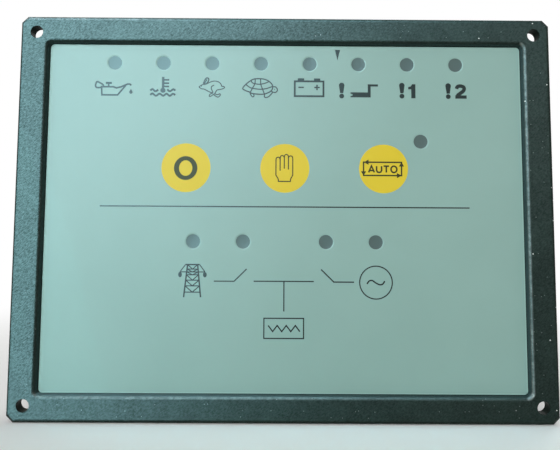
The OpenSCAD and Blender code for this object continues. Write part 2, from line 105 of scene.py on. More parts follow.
class Signal:
    """An output socket, with arithmetic that adds Math nodes to its tree."""

    def __init__(self, graph: "Graph", socket: bpy.types.NodeSocket) -> None:
        """Hold a socket and the graph it belongs to."""
        self.graph = graph
        self.socket = socket

    def _math(self, operation: str, first: Number, second: Number = 0.0) -> "Signal":
        """Add one Math node."""
        return self.graph.node("ShaderNodeMath", {"operation": operation}, {0: first, 1: second})

    def __add__(self, other: Number) -> "Signal":
        """Add a value."""
        return self._math("ADD", self, other)

    def __radd__(self, other: Number) -> "Signal":
        """Add to a value."""
        return self._math("ADD", other, self)

    def __sub__(self, other: Number) -> "Signal":
        """Take a value away."""
        return self._math("SUBTRACT", self, other)

    def __rsub__(self, other: Number) -> "Signal":
        """Take away from a value."""
        return self._math("SUBTRACT", other, self)

    def __mul__(self, other: Number) -> "Signal":
        """Multiply by a value."""
        return self._math("MULTIPLY", self, other)

    def __rmul__(self, other: Number) -> "Signal":
        """Multiply a value."""
        return self._math("MULTIPLY", other, self)

    def __gt__(self, other: Number) -> "Signal":
        """One where this is above a value."""
        return self._math("GREATER_THAN", self, other)

    def __lt__(self, other: Number) -> "Signal":
        """One where this is below a value."""
        return self._math("LESS_THAN", self, other)

    def __abs__(self) -> "Signal":
        """Drop the sign."""
        return self._math("ABSOLUTE", self)

    def or_more(self, other: Number) -> "Signal":
        """Take the greater of two values."""
        return self._math("MAXIMUM", self, other)

    def or_less(self, other: Number) -> "Signal":
        """Take the smaller of two values."""
        return self._math("MINIMUM", self, other)

    def rise(self, low: float, high: float) -> "Signal":
        """Go smoothly from 0 at low to 1 at high; with low above high it falls.

        Args:
            low: Value at which the result is 0.
            high: Value at which the result is 1.

        Returns:
            The eased value, held between 0 and 1.
        """
        return self.graph.node(
            "ShaderNodeMapRange",
            {"interpolation_type": "SMOOTHSTEP", "clamp": True},
            {"Value": self, "From Min": low, "From Max": high, "To Min": 0.0, "To Max": 1.0},
        )

    def band(self, start: float, full: float, fade: float, end: float) -> "Signal":
        """Be 1 from full to fade, and fall smoothly to 0 at start and at end."""
        return self.rise(start, full) * self.rise(end, fade)


class Graph:
    """Node tree of a material or of the world."""

    def __init__(self, tree: bpy.types.NodeTree) -> None:
        """Start from an empty tree."""
        self.tree = tree
        tree.nodes.clear()

    def node(
        self,
        kind: str,
        settings: dict[str, Any] | None = None,
        inputs: dict[Union[str, int], Any] | None = None,
        output: Union[str, int] = 0,
    ) -> Signal:
        """Add one node.

        Args:
            kind: The node's type.
            settings: Its properties, set before its sockets.
            inputs: Value or Signal for each socket, by name or number.
            output: The socket that is handed back.

        Returns:
            The chosen output, ready for arithmetic.
        """
        made = self.tree.nodes.new(kind)
        for key, value in (settings or {}).items():
            setattr(made, key, value)
        for key, value in (inputs or {}).items():
            if isinstance(value, Signal):
                self.tree.links.new(value.socket, made.inputs[key])
            else:
                made.inputs[key].default_value = value
        return Signal(self, made.outputs[output] if len(made.outputs) else None)

    def point(self) -> Signal:
        """Place on the piece, in metres of the shared frame."""
        return self.node("ShaderNodeTexCoord", output="Object")

    def axis(self, point: Signal, name: str) -> Signal:
        """One coordinate of a point, in millimetres."""
        return self.node("ShaderNodeSeparateXYZ", None, {"Vector": point}, name) * (1 / MM)

    def flat(self, x: Signal, y: Signal) -> Signal:
        """Join two values into a point of a plane."""
        return self.node("ShaderNodeCombineXYZ", None, {"X": x, "Y": y})

    def length(self, vector: Signal) -> Signal:
        """Measure a vector."""
        return self.node("ShaderNodeVectorMath", {"operation": "LENGTH"}, {0: vector}, "Value")

    def moved(self, point: Signal, centre: Vector, stretch: Sequence[float] = (1, 1, 1)) -> Signal:
        """Centre a pattern on a place and stretch it.

        Args:
            point: Coordinates to be moved.
            centre: Place that becomes the pattern's origin, in metres.
            stretch: Scale of the pattern along each axis.

        Returns:
            The new coordinates.
        """
        shift = tuple(-c * s for c, s in zip(centre, stretch))
        return self.node(
            "ShaderNodeMapping", None, {"Vector": point, "Location": shift, "Scale": tuple(stretch)}
        )

    def noise(self, point: Signal, size_mm: float, detail: float = 2.0, rough: float = 0.5) -> Signal:
        """Soft noise.

        Args:
            point: Coordinates of the pattern.
            size_mm: About the size of its patches.
            detail: How many finer layers it has.
            rough: How strong those are.

        Returns:
            The pattern, about 0.5 on the whole.
        """
        return self.node(
            "ShaderNodeTexNoise",
            None,
            {"Vector": point, "Scale": 1 / (size_mm * MM), "Detail": detail, "Roughness": rough},
        )

    def front(self, point: Signal) -> Signal:
        """Turn a place so that x and y lie in the object's front."""
        return self.node("ShaderNodeMapping", None, {"Vector": point, "Rotation": (-math.pi / 2, 0, 0)})

    def drawn(self, point: Signal, slant: float, length: float) -> Signal:
        """Stretch a pattern along a slanting line of the object's front.

        Args:
            point: Coordinates to be stretched.
            slant: Rise of that line to the right, in degrees.
            length: How many times as long as wide the pattern becomes.

        Returns:
            The new coordinates.
        """
        return self.node(
            "ShaderNodeMapping",
            {"vector_type": "TEXTURE"},
            {"Vector": point, "Rotation": (0, -math.radians(slant), 0), "Scale": (length, 1, 1)},
        )

    def cells(
        self, point: Signal, size_mm: float, output: str = "Distance", space: str = "3D"
    ) -> Signal:
        """Cellular pattern with cells of about the given size.

        Args:
            point: Coordinates of the pattern.
            size_mm: Size of a cell.
            output: Socket that is handed back.
            space: "3D", or "2D" for a pattern over x and y alone.

        Returns:
            The pattern.
        """
        return self.node(
            "ShaderNodeTexVoronoi",
            {"feature": "F1", "voronoi_dimensions": space},
            {"Vector": point, "Scale": 1 / (size_mm * MM)},
            output,
        )

    def mix(self, first: Any, second: Any, factor: Number) -> Signal:
        """Blend two colours.

        Args:
            first: Colour or Signal where the factor is 0.
            second: Colour or Signal where the factor is 1.
            factor: Share of the second.

        Returns:
            The blended colour.
        """
        ends = [c if isinstance(c, Signal) else (*c, 1.0) for c in (first, second)]
        return self.node(
            "ShaderNodeMix", {"data_type": "RGBA"}, {"Factor": factor, 6: ends[0], 7: ends[1]}, 2
        )

    def relief(self, height: Signal, depth_mm: float, edge_mm: float = 0.0) -> Signal:
        """Turn a height into a normal.

        Args:
            height: Pattern from 0 to 1.
            depth_mm: Real depth of the pattern.
            edge_mm: Radius by which sharp moulded edges catch the light, or 0.

        Returns:
            The normal for the shader.
        """
        inputs: dict[Union[str, int], Any] = {"Height": height, "Strength": 1.0, "Distance": depth_mm * MM}
        if edge_mm:
            inputs["Normal"] = self.node("ShaderNodeBevel", {"samples": 4}, {"Radius": edge_mm * MM})
        return self.node("ShaderNodeBump", None, inputs)

    def surface(self, **sockets: Any) -> None:
        """End the tree in one Principled shader.

        Args:
            sockets: Value or Signal for each of its sockets, with _ for the spaces in their names.
        """
        values = {name.replace("_", " "): value for name, value in sockets.items()}
        shader = self.node("ShaderNodeBsdfPrincipled", None, values)
        self.node("ShaderNodeOutputMaterial", None, {"Surface": shader})


@dataclass(frozen=True)
class Finish:
    """What each finish has: a name, a colour, how rough it is and how strongly it reflects."""

    name: str
    colour: Colour
    roughness: float = 0.4
    specular: float = 0.3

    def material(self) -> bpy.types.Material:
        """Make this finish when it is first asked for.

        Returns:
            The material, the same one each time.
        """
        found = bpy.data.materials.get(self.name)
        if found is None:
            found = bpy.data.materials.new(self.name)
            found.use_nodes = True
            self.paint(Graph(found.node_tree))
        return found

    def paint(self, graph: Graph) -> None:
        """Fill the material's tree."""
        raise NotImplementedError

    def dress(self, piece: bpy.types.Object) -> None:
        """Give a piece this finish and no other.

        Args:
            piece: The piece to be dressed.
        """
        if not piece.material_slots:
            piece.data.materials.append(None)
        for place in piece.material_slots:
            place.link = "OBJECT"
            place.material = self.material()


@dataclass(frozen=True)
class MouldedPlastic(Finish):
    """Moulded plastic with the grain of its tool, whose slanting lines break its gloss.

    pit and line are shares of the grain's size. The gloss is shine times the sum of the other four shines,
    of which three come and go with the lines, the grain and the patches.
    """

    tone: Colour = (0.05, 0.05, 0.05)
    patch_mm: float = 9.0
    grain_mm: float = 0.45
    grain_depth_mm: float = 0.02
    pit: float = 1.7
    edge_mm: float = 0.25
    uneven: float = 0.1
    shine: float = 0.0
    slant: float = 36.0
    line: float = 0.7
    line_length: float = 3.0
    least_shine: float = 0.31
    line_shine: float = 0.51
    grain_shine: float = 0.42
    patch_shine: float = 0.1
    crisp: Span = (0.32, 0.68)
    soft: Span = (0.35, 0.65)
    clouded: Span = (0.3, 0.75)

    def worn(self, graph: Graph, point: Signal, base: Signal) -> Signal:
        """Return the colour with whatever wear this plastic shows; a clean one shows none."""
        return base

    def polished(self, graph: Graph, point: Signal) -> Number:
        """Return the share of the gloss that each place has; here it is the same all over."""
        return 1.0

    def paint(self, graph: Graph) -> None:
        """Cloud the colour, raise the grain and let its slanting lines break the gloss.

        Args:
            graph: Tree that is being filled.
        """
        point = graph.point()
        patches = graph.noise(point, self.patch_mm, detail=4.0, rough=0.6)
        grain = graph.noise(point, self.grain_mm, detail=3.0, rough=0.65)
        pits = graph.cells(point, self.pit * self.grain_mm)
        shade = (0.55 * patches + 0.45 * grain).rise(*self.clouded)
        base = graph.mix(self.colour, self.tone, shade)
        drawn = graph.drawn(point, self.slant, self.line_length)
        lines = graph.noise(drawn, self.line * self.grain_mm, detail=1.0)
        fine = self.line_shine * lines.rise(*self.crisp) + self.grain_shine * grain.rise(*self.crisp)
        broken = self.least_shine + fine + self.patch_shine * patches.rise(*self.soft)
        graph.surface(
            Base_Color=self.worn(graph, point, base),
            Roughness=self.roughness + self.uneven * (patches - 0.5) + self.uneven * (grain - 0.5),
            Specular_IOR_Level=self.specular,
            Coat_Weight=self.shine * broken * self.polished(graph, point),
            Coat_Roughness=self.roughness,
            Normal=graph.relief(0.6 * grain + 0.4 * pits, self.grain_depth_mm, self.edge_mm),
        )


@dataclass(frozen=True)
class Specks:
    """How specks lie on a surface; on the bezel they are dusty specks and small painted glints.

    A speck may lie at places about apart_mm from each other. Its radius, size, is a share of that distance,
    and a place whose random shade is below bare has none.
    """

    apart_mm: float
    size: float
    bare: float
    strength: float = 1.0


@dataclass(frozen=True)
class BezelPlastic(MouldedPlastic):
    """Bezel moulding, with rubbed outer edges, painted light on the recess side round the film, a dusty rim
    with a painted highlight, painted highlights on the top edge and in the bottom right corner, pale dusty
    specks and small painted glints.

    A band, or a span that ends in _mm, holds the places in millimetres between which something comes and
    goes: crest_band and round_mm from the outer edge, ahead_mm and gloss_mm from the front face, those of
    crest_x, specks_x and specks_z from the middle, and the others from the film's edge.
    """

    node: str = "front_bezel"
    film: str = "facia_overlay"
    film_r_mm: float = 1.4
    hole_inset_mm: float = 6.0
    hole_r_mm: float = 2.25
    hole_clear_mm: float = 0.05
    patchy_mm: float = 2.4
    patchy: Span = (0.42, 0.66)
    thinnest: float = 0.4
    rub: Colour = (0.09, 0.12, 0.115)
    rub_mm: float = 1.1
    rub_share: float = 0.3
    # Painted light on the recess side round the film: some all round, more on the right, and at the bottom
    # as much as the painted sheen gives.
    wall_painted_light: Colour = (0.075, 0.115, 0.12)
    wall_band: Band = (-0.2, 0.0, 0.45, 0.75)
    wall_light_share: float = 0.15
    wall_light_right: float = 0.2
    # Painted sheen: a share of painted light that is strongest at the film's left and fades to its right.
    painted_sheen_least: float = 0.05
    painted_sheen_more: float = 0.7
    # Dust and a painted highlight on the rounded rim above the film, right and bottom; at the bottom it
    # follows the painted sheen.
    lip_dust_and_highlight: Colour = (0.145, 0.162, 0.145)
    lip_band: Band = (0.4, 0.75, 1.0, 1.7)
    lip_mm: Span = (-1.2, 0.2)
    lip_right: float = 0.85
    lip_least: float = 0.01
    lip_painted_sheen: float = 0.75
    # Colour of the dusty specks, and of the painted highlights on the top edge and in the corner and of the
    # small painted glints.
    dust_and_glint: Colour = (0.7, 0.75, 0.72)
    # A painted glint, in the dusty colour, on the rounded corner of the recess at the bottom right.
    nook_band: Band = (0.3, 0.7, 1.0, 1.6)
    nook_mm: Span = (-1.8, -0.4)
    nook_glint: float = 0.35
    # A painted highlight along the top edge, stronger to the left, in the dusty colour.
    crest_band: Band = (-1.7, -1.1, -0.7, -0.3)
    crest_x_mm: Span = (-10.0, -70.0)
    crest_highlight: float = 0.2
    coarse: Specks = Specks(6.0, 0.045, 0.74)
    # Small painted glints where the grain catches light, on the right and at the bottom; the coarse specks
    # are dusty.
    fine: Specks = Specks(2.1, 0.09, 0.8, 0.16)
    specks_x_mm: Span = (-10.0, 60.0)
    specks_z_mm: Span = (30.0, -55.0)
    stray: float = 0.03
    ahead_mm: Span = (1.2, 0.6)
    gloss_mm: Span = (2.8, 1.6)
    side_gloss: float = 0.15
    dust_dulls: float = 0.5
    round_mm: Span = (-1.25, -0.75)
    dulled: float = 0.85

    def worn(self, graph: Graph, point: Signal, base: Signal) -> Signal:
        """Lighten the outer edges where hands rub them, paint light on the recess side and its rim, paint
        highlights on the top edge and in the bottom right corner, and scatter dusty specks and small painted
        glints.

        Args:
            graph: Tree that is being filled.
            point: Place on the bezel.
            base: Colour of the clean plastic.

        Returns:
            The colour with wear, dusty specks and painted light.
        """
        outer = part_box(self.node)[1] / MM
        along = graph.axis(point, "X")
        up = graph.axis(point, "Z")
        edge = (abs(along) - outer.x).or_more(abs(up) - outer.z).rise(-self.rub_mm, -0.1)
        patchy = graph.noise(point, self.patchy_mm, detail=4.0, rough=0.7).rise(*self.patchy)
        thin = self.thinnest + (1 - self.thinnest) * patchy
        rubbed = graph.mix(base, self.rub, self.rub_share * edge * patchy)
        wall_painted_light, lip_dust_and_highlight, corner_glint = self._recess(graph, point)
        # Painted light on the recess side, and dust with a painted highlight on its rim.
        painted_ledge = graph.mix(graph.mix(rubbed, self.wall_painted_light, wall_painted_light), self.lip_dust_and_highlight, lip_dust_and_highlight * thin)
        # Painted highlight on the top edge and painted glint in the bottom right corner, both in the dusty
        # colour.
        top_edge_highlight = (up - outer.z).band(*self.crest_band) * along.rise(*self.crest_x_mm)
        painted_highlights = (self.crest_highlight * top_edge_highlight).or_more(self.nook_glint * corner_glint) * thin
        rightward = along.rise(*self.specks_x_mm)
        downward = up.rise(*self.specks_z_mm)
        coarse = self._scatter(graph, point, self.coarse) * (self.stray + (1 - self.stray) * rightward)
        # Small painted glints where the grain catches light.
        fine = self._scatter(graph, point, self.fine) * rightward.or_more(downward)
        return graph.mix(painted_ledge, self.dust_and_glint, painted_highlights.or_more(coarse.or_more(fine)))

    def _scatter(self, graph: Graph, point: Signal, specks: Specks) -> Signal:
        """Scatter specks over the bezel's front.

        Args:
            graph: Tree that is being filled.
            point: Place on the bezel.
            specks: How they lie.

        Returns:
            Their strength on a speck, 0 elsewhere.
        """
        face = graph.front(point)
        spot = graph.cells(face, specks.apart_mm, space="2D").rise(specks.size, 0.4 * specks.size)
        chosen = graph.cells(face, specks.apart_mm, "Color", "2D").rise(specks.bare - 0.02, specks.bare)
        return specks.strength * spot * chosen * self._ahead(graph, point, self.ahead_mm)

    def _ahead(self, graph: Graph, point: Signal, depths_mm: Span) -> Signal:
        """Fall from 1 at the bezel's front to 0, between two depths behind it."""
        return (graph.axis(point, "Y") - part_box(self.node)[0].y / MM).rise(*depths_mm)

    def _recess(self, graph: Graph, point: Signal) -> tuple[Signal, Signal, Signal]:
        """Find where light is painted round the film: on the recess side, on its rounded rim, which is dusty
        too, and in the rounded corner at the bottom right.

        Args:
            graph: Tree that is being filled.
            point: Place on the bezel.

        Returns:
            How much painted light the recess side has, most at the bottom left; how dusty the rim is and how
            much painted highlight it has, right and bottom; and how much painted glint the corner has.
        """
        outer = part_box(self.film)[1] / MM
        x = graph.axis(point, "X")
        z = graph.axis(point, "Z")
        right = x - outer.x
        low = -outer.z - z
        across = (abs(x) - outer.x + self.film_r_mm).or_more(0.0)
        upwards = (abs(z) - outer.z + self.film_r_mm).or_more(0.0)
        around = graph.length(graph.flat(across, upwards)) - self.film_r_mm
        starts = self.wall_band[0]
        # Painted sheen, strongest at the left of the film and fading to its right.
        painted_sheen = self.painted_sheen_least + self.painted_sheen_more * x.rise(0.8 * outer.x, -0.9 * outer.x)
        share = self.wall_light_share + self.wall_light_right * (right > starts) + painted_sheen * (low > starts)
        wall_painted_light = around.band(*self.wall_band) * share
        # Dust and a painted highlight on the rim, on the right and at the bottom.
        crown = around.band(*self.lip_band)
        beside, below = (crown * side.rise(*self.lip_mm) for side in (right, low))
        lip_dust_and_highlight = (self.lip_right * beside).or_more(below * (self.lip_least + self.lip_painted_sheen * painted_sheen))
        # Painted glint in the rounded corner at the bottom right.
        corner = right.rise(*self.nook_mm) * low.rise(*self.nook_mm)
        return wall_painted_light, lip_dust_and_highlight, around.band(*self.nook_band) * corner

    def polished(self, graph: Graph, point: Signal) -> Number:
        """Keep the gloss to the front, off its rounded edge and out of its holes, and dull it on the dusty
        rim, whose highlight is painted.

        Args:
            graph: Tree that is being filled.
            point: Place on the bezel.

        Returns:
            The share of the gloss.
        """
        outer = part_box(self.node)[1] / MM
        x = abs(graph.axis(point, "X")) - outer.x
        z = abs(graph.axis(point, "Z")) - outer.z
        off_hole = graph.length(graph.flat(x + self.hole_inset_mm, z + self.hole_inset_mm))
        solid = off_hole > self.hole_r_mm + self.hole_clear_mm
        ahead = self.side_gloss + (1 - self.side_gloss) * self._ahead(graph, point, self.gloss_mm)
        flat = 1 - self.dulled * x.or_more(z).rise(*self.round_mm)
        return solid * ahead * flat * (1 - self.dust_dulls * self._recess(graph, point)[1])


@dataclass(frozen=True)
class SatinFilm(Finish):
    """Printed polyester film with a satin face, which may be dimpled over the lamps.

    Two spans say how far from its edge the film is painted paler: a painted highlight right at its edge all
    round, and a strip of painted light left and top that cancels the shade cast by the recess side.
    """

    tone: Colour = (0.3, 0.5, 0.45)
    cloud_mm: float = 34.0
    grain_mm: float = 0.22
    grain_depth_mm: float = 0.004
    uneven: float = 0.06
    node: str = "facia_overlay"
    # Painted highlight right at the film's edge, all round.
    edge_highlight_mm: Span = (-0.55, -0.2)
    # Painted light along the left and top edges, which cancels the shade that the recess side casts there.
    lit_edges_mm: Span = (-1.8, -0.2)
    # Strength of the painted light along the left and top edges.
    fade: float = 0.75
    # How much paler than the tone the painted light at the edges is.
    pale: float = 1.2
    sheen: Colour = (1.0, 1.0, 1.0)
    dimple_mm: float = 0.0
    dimple_r_mm: Span = (1.0, 3.2)

    def paint(self, graph: Graph) -> None:
        """Keep the colour even but for its edges, which are painted paler, and break the gloss very finely.

        Args:
            graph: Tree that is being filled.
        """
        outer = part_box(self.node)[1] / MM
        point = graph.point()
        cloud = graph.noise(point, self.cloud_mm, detail=3.0)
        grain = graph.noise(point, self.grain_mm, detail=1.0)
        x = graph.axis(point, "X")
        z = graph.axis(point, "Z")
        # Painted highlight right at the edge, all round.
        edge_highlight = (abs(x) - outer.x).or_more(abs(z) - outer.z).rise(*self.edge_highlight_mm)
        # Painted light along the left and top edges, against the shade of the recess side.
        lit_edges = (-outer.x - x).or_more(z - outer.z).rise(*self.lit_edges_mm)
        even = graph.mix(self.colour, self.tone, cloud.rise(0.3, 0.7))
        # Colour of the painted light at the edges.
        pale = tuple(self.pale * part for part in self.tone)
        height = grain
        if self.dimple_mm:
            height = grain + self.dimple_mm / self.grain_depth_mm * self._dimples(graph, point)
        graph.surface(
            Base_Color=graph.mix(even, pale, edge_highlight.or_more(self.fade * lit_edges)),
            Roughness=self.roughness + self.uneven * (grain - 0.5),
            Specular_IOR_Level=self.specular,
            Specular_Tint=(*self.sheen, 1.0),
            Normal=graph.relief(height, self.grain_depth_mm),
        )

    def _dimples(self, graph: Graph, point: Signal) -> Signal:
        """Find the dimples over the lamps.

        Args:
            graph: Tree that is being filled.
            point: Place on the film.

        Returns:
            A height that is 0 inside each dimple and 1 outside them.
        """
        flat = graph.moved(point, Vector(), (1, 0, 1))
        gaps: list[Signal] = []
        for name in sorted(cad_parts):
            if name.endswith("_lamp"):
                low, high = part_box(name)
                middle = ((low.x + high.x) / 2, 0.0, (low.z + high.z) / 2)
                ends = {0: flat, 1: middle}
                gaps.append(graph.node("ShaderNodeVectorMath", {"operation": "DISTANCE"}, ends, "Value"))
        nearest = gaps[0]
        for gap in gaps[1:]:
            nearest = nearest.or_less(gap)
        return (nearest * (1 / MM)).rise(*self.dimple_r_mm)


@dataclass(frozen=True)
class Ink(SatinFilm):
    """Ink printed on the film: a little thinner in places, under the same satin face."""


@dataclass(frozen=True)
class TintedLens(Finish):
    """Tinted epoxy of an indicator lamp, with its two tinned leads."""

    lead: Colour = (0.7, 0.68, 0.64)
    board: str = "main_board"
    haze_mm: float = 1.6
    deeper: float = 0.7
    uneven: float = 0.12
    clear: float = 0.35

    def paint(self, graph: Graph) -> None:
        """Tint the lens, and make metal of what passes through the board.

        Args:
            graph: Tree that is being filled.
        """
        point = graph.point()
        depth = graph.axis(point, "Y")
        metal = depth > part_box(self.board)[0].y / MM + 0.01
        haze = graph.noise(point, self.haze_mm, detail=3.0)
        deep = tuple(self.deeper * part for part in self.colour)
        lens = graph.mix(self.colour, deep, haze.rise(0.35, 0.7))
        graph.surface(
            Base_Color=graph.mix(lens, self.lead, metal),
            Metallic=metal,
            Roughness=self.roughness + self.uneven * haze,
            Specular_IOR_Level=self.specular,
            Transmission_Weight=self.clear,
        )


@dataclass(frozen=True)
class BoardLaminate(Finish):
    """Glass laminate under solder resist, with tracks that show through it."""

    track: Colour = (0.05, 0.3, 0.12)
    track_mm: Span = (11.0, 1.6)
    gap_mm: float = 0.25
    core: Colour = (0.42, 0.36, 0.2)
    core_rough: float = 0.3
    weave_mm: float = 0.6
    weave_rough: float = 0.1
    depth_mm: float = 0.03
    edge_mm: float = 0.15
    node: str = "main_board"

    def paint(self, graph: Graph) -> None:
        """Lay tracks under the resist, and leave the sawn edges bare.

        Args:
            graph: Tree that is being filled.
        """
        point = graph.point()
        x = graph.axis(point, "X")
        z = graph.axis(point, "Z")
        lanes = graph.node(
            "ShaderNodeTexBrick",
            {"offset": 0.37, "offset_frequency": 3, "squash": 0.6, "squash_frequency": 2},
            {
                "Vector": graph.flat(x, z),
                "Scale": 1.0,
                "Mortar Size": self.gap_mm,
                "Mortar Smooth": 0.2,
                "Brick Width": self.track_mm[0],
                "Row Height": self.track_mm[1],
            },
            "Fac",
        )
        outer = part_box(self.node)[1] / MM
        bare = (abs(x) - outer.x).or_more(abs(z) - outer.z) > -0.02
        weave = graph.cells(point, self.weave_mm)
        resist = graph.mix(self.colour, self.track, lanes)
        graph.surface(
            Base_Color=graph.mix(resist, self.core, bare),
            Roughness=self.roughness + self.core_rough * bare + self.weave_rough * weave,
            Specular_IOR_Level=self.specular,
            Normal=graph.relief(lanes + 0.15 * weave, self.depth_mm, self.edge_mm),
        )


@dataclass(frozen=True)
class PlatedMetal(Finish):
    """Plated or drawn metal with fine lines from its making."""

    tone: Colour = (0.45, 0.44, 0.42)
    cloud_mm: float = 3.0
    line_mm: float = 0.25
    line_depth_mm: float = 0.008
    stretch: tuple[float, float, float] = (1.0, 0.08, 1.0)
    edge_mm: float = 0.12

    def paint(self, graph: Graph) -> None:
        """Draw the lines along the piece and cloud the plating.

        Args:
            graph: Tree that is being filled.
        """
        point = graph.point()
        lines = graph.noise(graph.moved(point, Vector(), self.stretch), self.line_mm, detail=3.0)
        cloud = graph.noise(point, self.cloud_mm, detail=4.0)
        graph.surface(
            Base_Color=graph.mix(self.colour, self.tone, (0.6 * cloud + 0.4 * lines).rise(0.35, 0.75)),
            Metallic=1.0,
            Roughness=self.roughness + 0.2 * (cloud - 0.5) + 0.1 * (lines - 0.5),
            Normal=graph.relief(lines, self.line_depth_mm, self.edge_mm),
        )


@dataclass(frozen=True)
class ShrunkSleeve(Finish):
    """Capacitor in a shrunk sleeve, with its bare end and a pale polarity band.

    The opening of the sleeve and half the width of the band are shares of the can's radius.
    """

    band: Colour = (0.45, 0.47, 0.5)
    band_half: float = 0.3
    metal: Colour = (0.62, 0.62, 0.63)
    opening: float = 0.82
    ripple_mm: float = 2.5
    ripple_depth_mm: float = 0.05
    edge_mm: float = 0.3
    uneven: float = 0.15
    node: str = "reservoir_capacitor"

    def paint(self, graph: Graph) -> None:
        """Cover the can, leave its end bare and print the band.

        Args:
            graph: Tree that is being filled.
        """
        low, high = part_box(self.node)
        centre = (low + high) / 2
        radius_mm = (high.x - low.x) / (2 * MM)
        point = graph.point()
        local = graph.moved(point, centre)
        x = graph.axis(local, "X")
        z = graph.axis(local, "Z")
        y = graph.axis(point, "Y")
        bare = (y > high.y / MM - 0.02) * (graph.length(graph.flat(x, z)) < self.opening * radius_mm)
        band = (abs(x) < self.band_half * radius_mm) * (z < 0.0) * (1 - bare)
        ripple = graph.noise(point, self.ripple_mm, detail=3.0)
        sleeve = graph.mix(self.colour, self.band, band)
        graph.surface(
            Base_Color=graph.mix(sleeve, self.metal, bare),
            Metallic=bare,
            Roughness=self.roughness + self.uneven * (ripple - 0.5),
            Specular_IOR_Level=self.specular,
            Normal=graph.relief(ripple, self.ripple_depth_mm, self.edge_mm),
        )


@dataclass(frozen=True)
class PowerPackage(Finish):
    """Voltage regulator: a moulded body on a tinned metal tab with three legs."""

    metal: Colour = (0.66, 0.65, 0.63)
    smoother: float = 0.15
    grain_mm: float = 0.3
    grain_depth_mm: float = 0.015
    edge_mm: float = 0.15
    uneven: float = 0.15
    node: str = "voltage_regulator"
    tab_mm: float = 1.3
    leg_mm: float = 6.0

    def paint(self, graph: Graph) -> None:
        """Make metal of the tab and the legs, and grain the moulded body.

        Args:
            graph: Tree that is being filled.
        """
        low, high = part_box(self.node)
        point = graph.point()
        depth = graph.axis(point, "Y")
        across = graph.axis(point, "Z")
        legs = depth < low.y / MM + self.leg_mm
        tab = (high.z / MM - across) < self.tab_mm + 0.02
        metal = legs.or_more(tab)
        grain = graph.noise(point, self.grain_mm, detail=2.0)
        graph.surface(
            Base_Color=graph.mix(self.colour, self.metal, metal),
            Metallic=metal,
            Roughness=self.roughness - self.smoother * metal + self.uneven * (grain - 0.5),
            Specular_IOR_Level=self.specular,
            Normal=graph.relief(grain, self.grain_depth_mm, self.edge_mm),
        )


FINISHES: dict[Slot, Finish] = {
    Slot.BEZEL: BezelPlastic(
        "finish_bezel", (0.001, 0.006, 0.003), 0.4, 0.02, tone=(0.004, 0.013, 0.008),
        grain_mm=0.55, grain_depth_mm=0.06, edge_mm=0.4, shine=0.28,
    ),
    Slot.FILM: SatinFilm(
        "finish_film", (0.238, 0.385, 0.348), 0.4, 0.112, tone=(0.248, 0.4, 0.362),
        sheen=(1.0, 0.74, 0.75), dimple_mm=0.16, dimple_r_mm=(2.2, 3.1),
    ),
    Slot.CASE: MouldedPlastic("finish_case", (0.012, 0.016, 0.015), 0.5, 0.1, tone=(0.024, 0.03, 0.028)),
    Slot.BOARD: BoardLaminate("finish_board", (0.012, 0.12, 0.045), 0.3, 0.5),
    Slot.RED_LENS: TintedLens("finish_red_lens", (0.5, 0.02, 0.015), 0.16, 0.5),
    Slot.AMBER_LENS: TintedLens("finish_amber_lens", (0.72, 0.3, 0.02), 0.16, 0.5),
    Slot.GREEN_LENS: TintedLens("finish_green_lens", (0.04, 0.4, 0.08), 0.16, 0.5),
    Slot.SWITCH: MouldedPlastic("finish_switch", (0.05, 0.05, 0.054), 0.45, 0.4, tone=(0.07, 0.07, 0.074)),
    Slot.COVER: PlatedMetal("finish_cover", (0.62, 0.62, 0.62), 0.3, stretch=(1.0, 1.0, 0.05)),
    Slot.PLUNGER: MouldedPlastic("finish_plunger", (0.02, 0.02, 0.02), 0.4, 0.4, tone=(0.035, 0.035, 0.035)),
    Slot.HEADER: MouldedPlastic(
        "finish_header", (0.02, 0.2, 0.075), 0.42, 0.4, tone=(0.032, 0.25, 0.1), grain_depth_mm=0.012
    ),
    Slot.PIN: PlatedMetal("finish_pin", (0.74, 0.72, 0.68), 0.26),
    Slot.RELAY: MouldedPlastic(
        "finish_relay", (0.015, 0.017, 0.024), 0.34, 0.45, tone=(0.026, 0.029, 0.038), grain_depth_mm=0.01
    ),
    Slot.CAPACITOR: ShrunkSleeve("finish_capacitor", (0.02, 0.028, 0.06), 0.28, 0.5),
    Slot.CHIP: MouldedPlastic(
        "finish_chip", (0.018, 0.018, 0.02), 0.55, 0.35, tone=(0.028, 0.028, 0.03), grain_mm=0.15
    ),
    Slot.CRYSTAL: PlatedMetal("finish_crystal", (0.66, 0.66, 0.67), 0.24, stretch=(0.05, 1.0, 1.0)),
    Slot.REGULATOR: PowerPackage("finish_regulator", (0.024, 0.024, 0.026), 0.5, 0.35),
    Slot.SCREW: PlatedMetal("finish_screw", (0.6, 0.6, 0.57), 0.34, tone=(0.5, 0.47, 0.38)),
}

WINDOW_INK = Ink(
    "ink_window", (0.062, 0.09, 0.085), 0.36, 0.12, tone=(0.07, 0.102, 0.095), dimple_mm=0.08
)
KEY_INK = Ink("ink_key", (0.65, 0.5, 0.022), 0.4, 0.055, tone=(0.67, 0.52, 0.03))
LINE_INK = Ink("ink_line", (0.003, 0.006, 0.005), 0.33, 0.115, tone=(0.006, 0.01, 0.008))
KEY_LINE_INK = Ink("ink_key_line", (0.03, 0.026, 0.005), 0.42, 0.055, tone=(0.036, 0.031, 0.007))


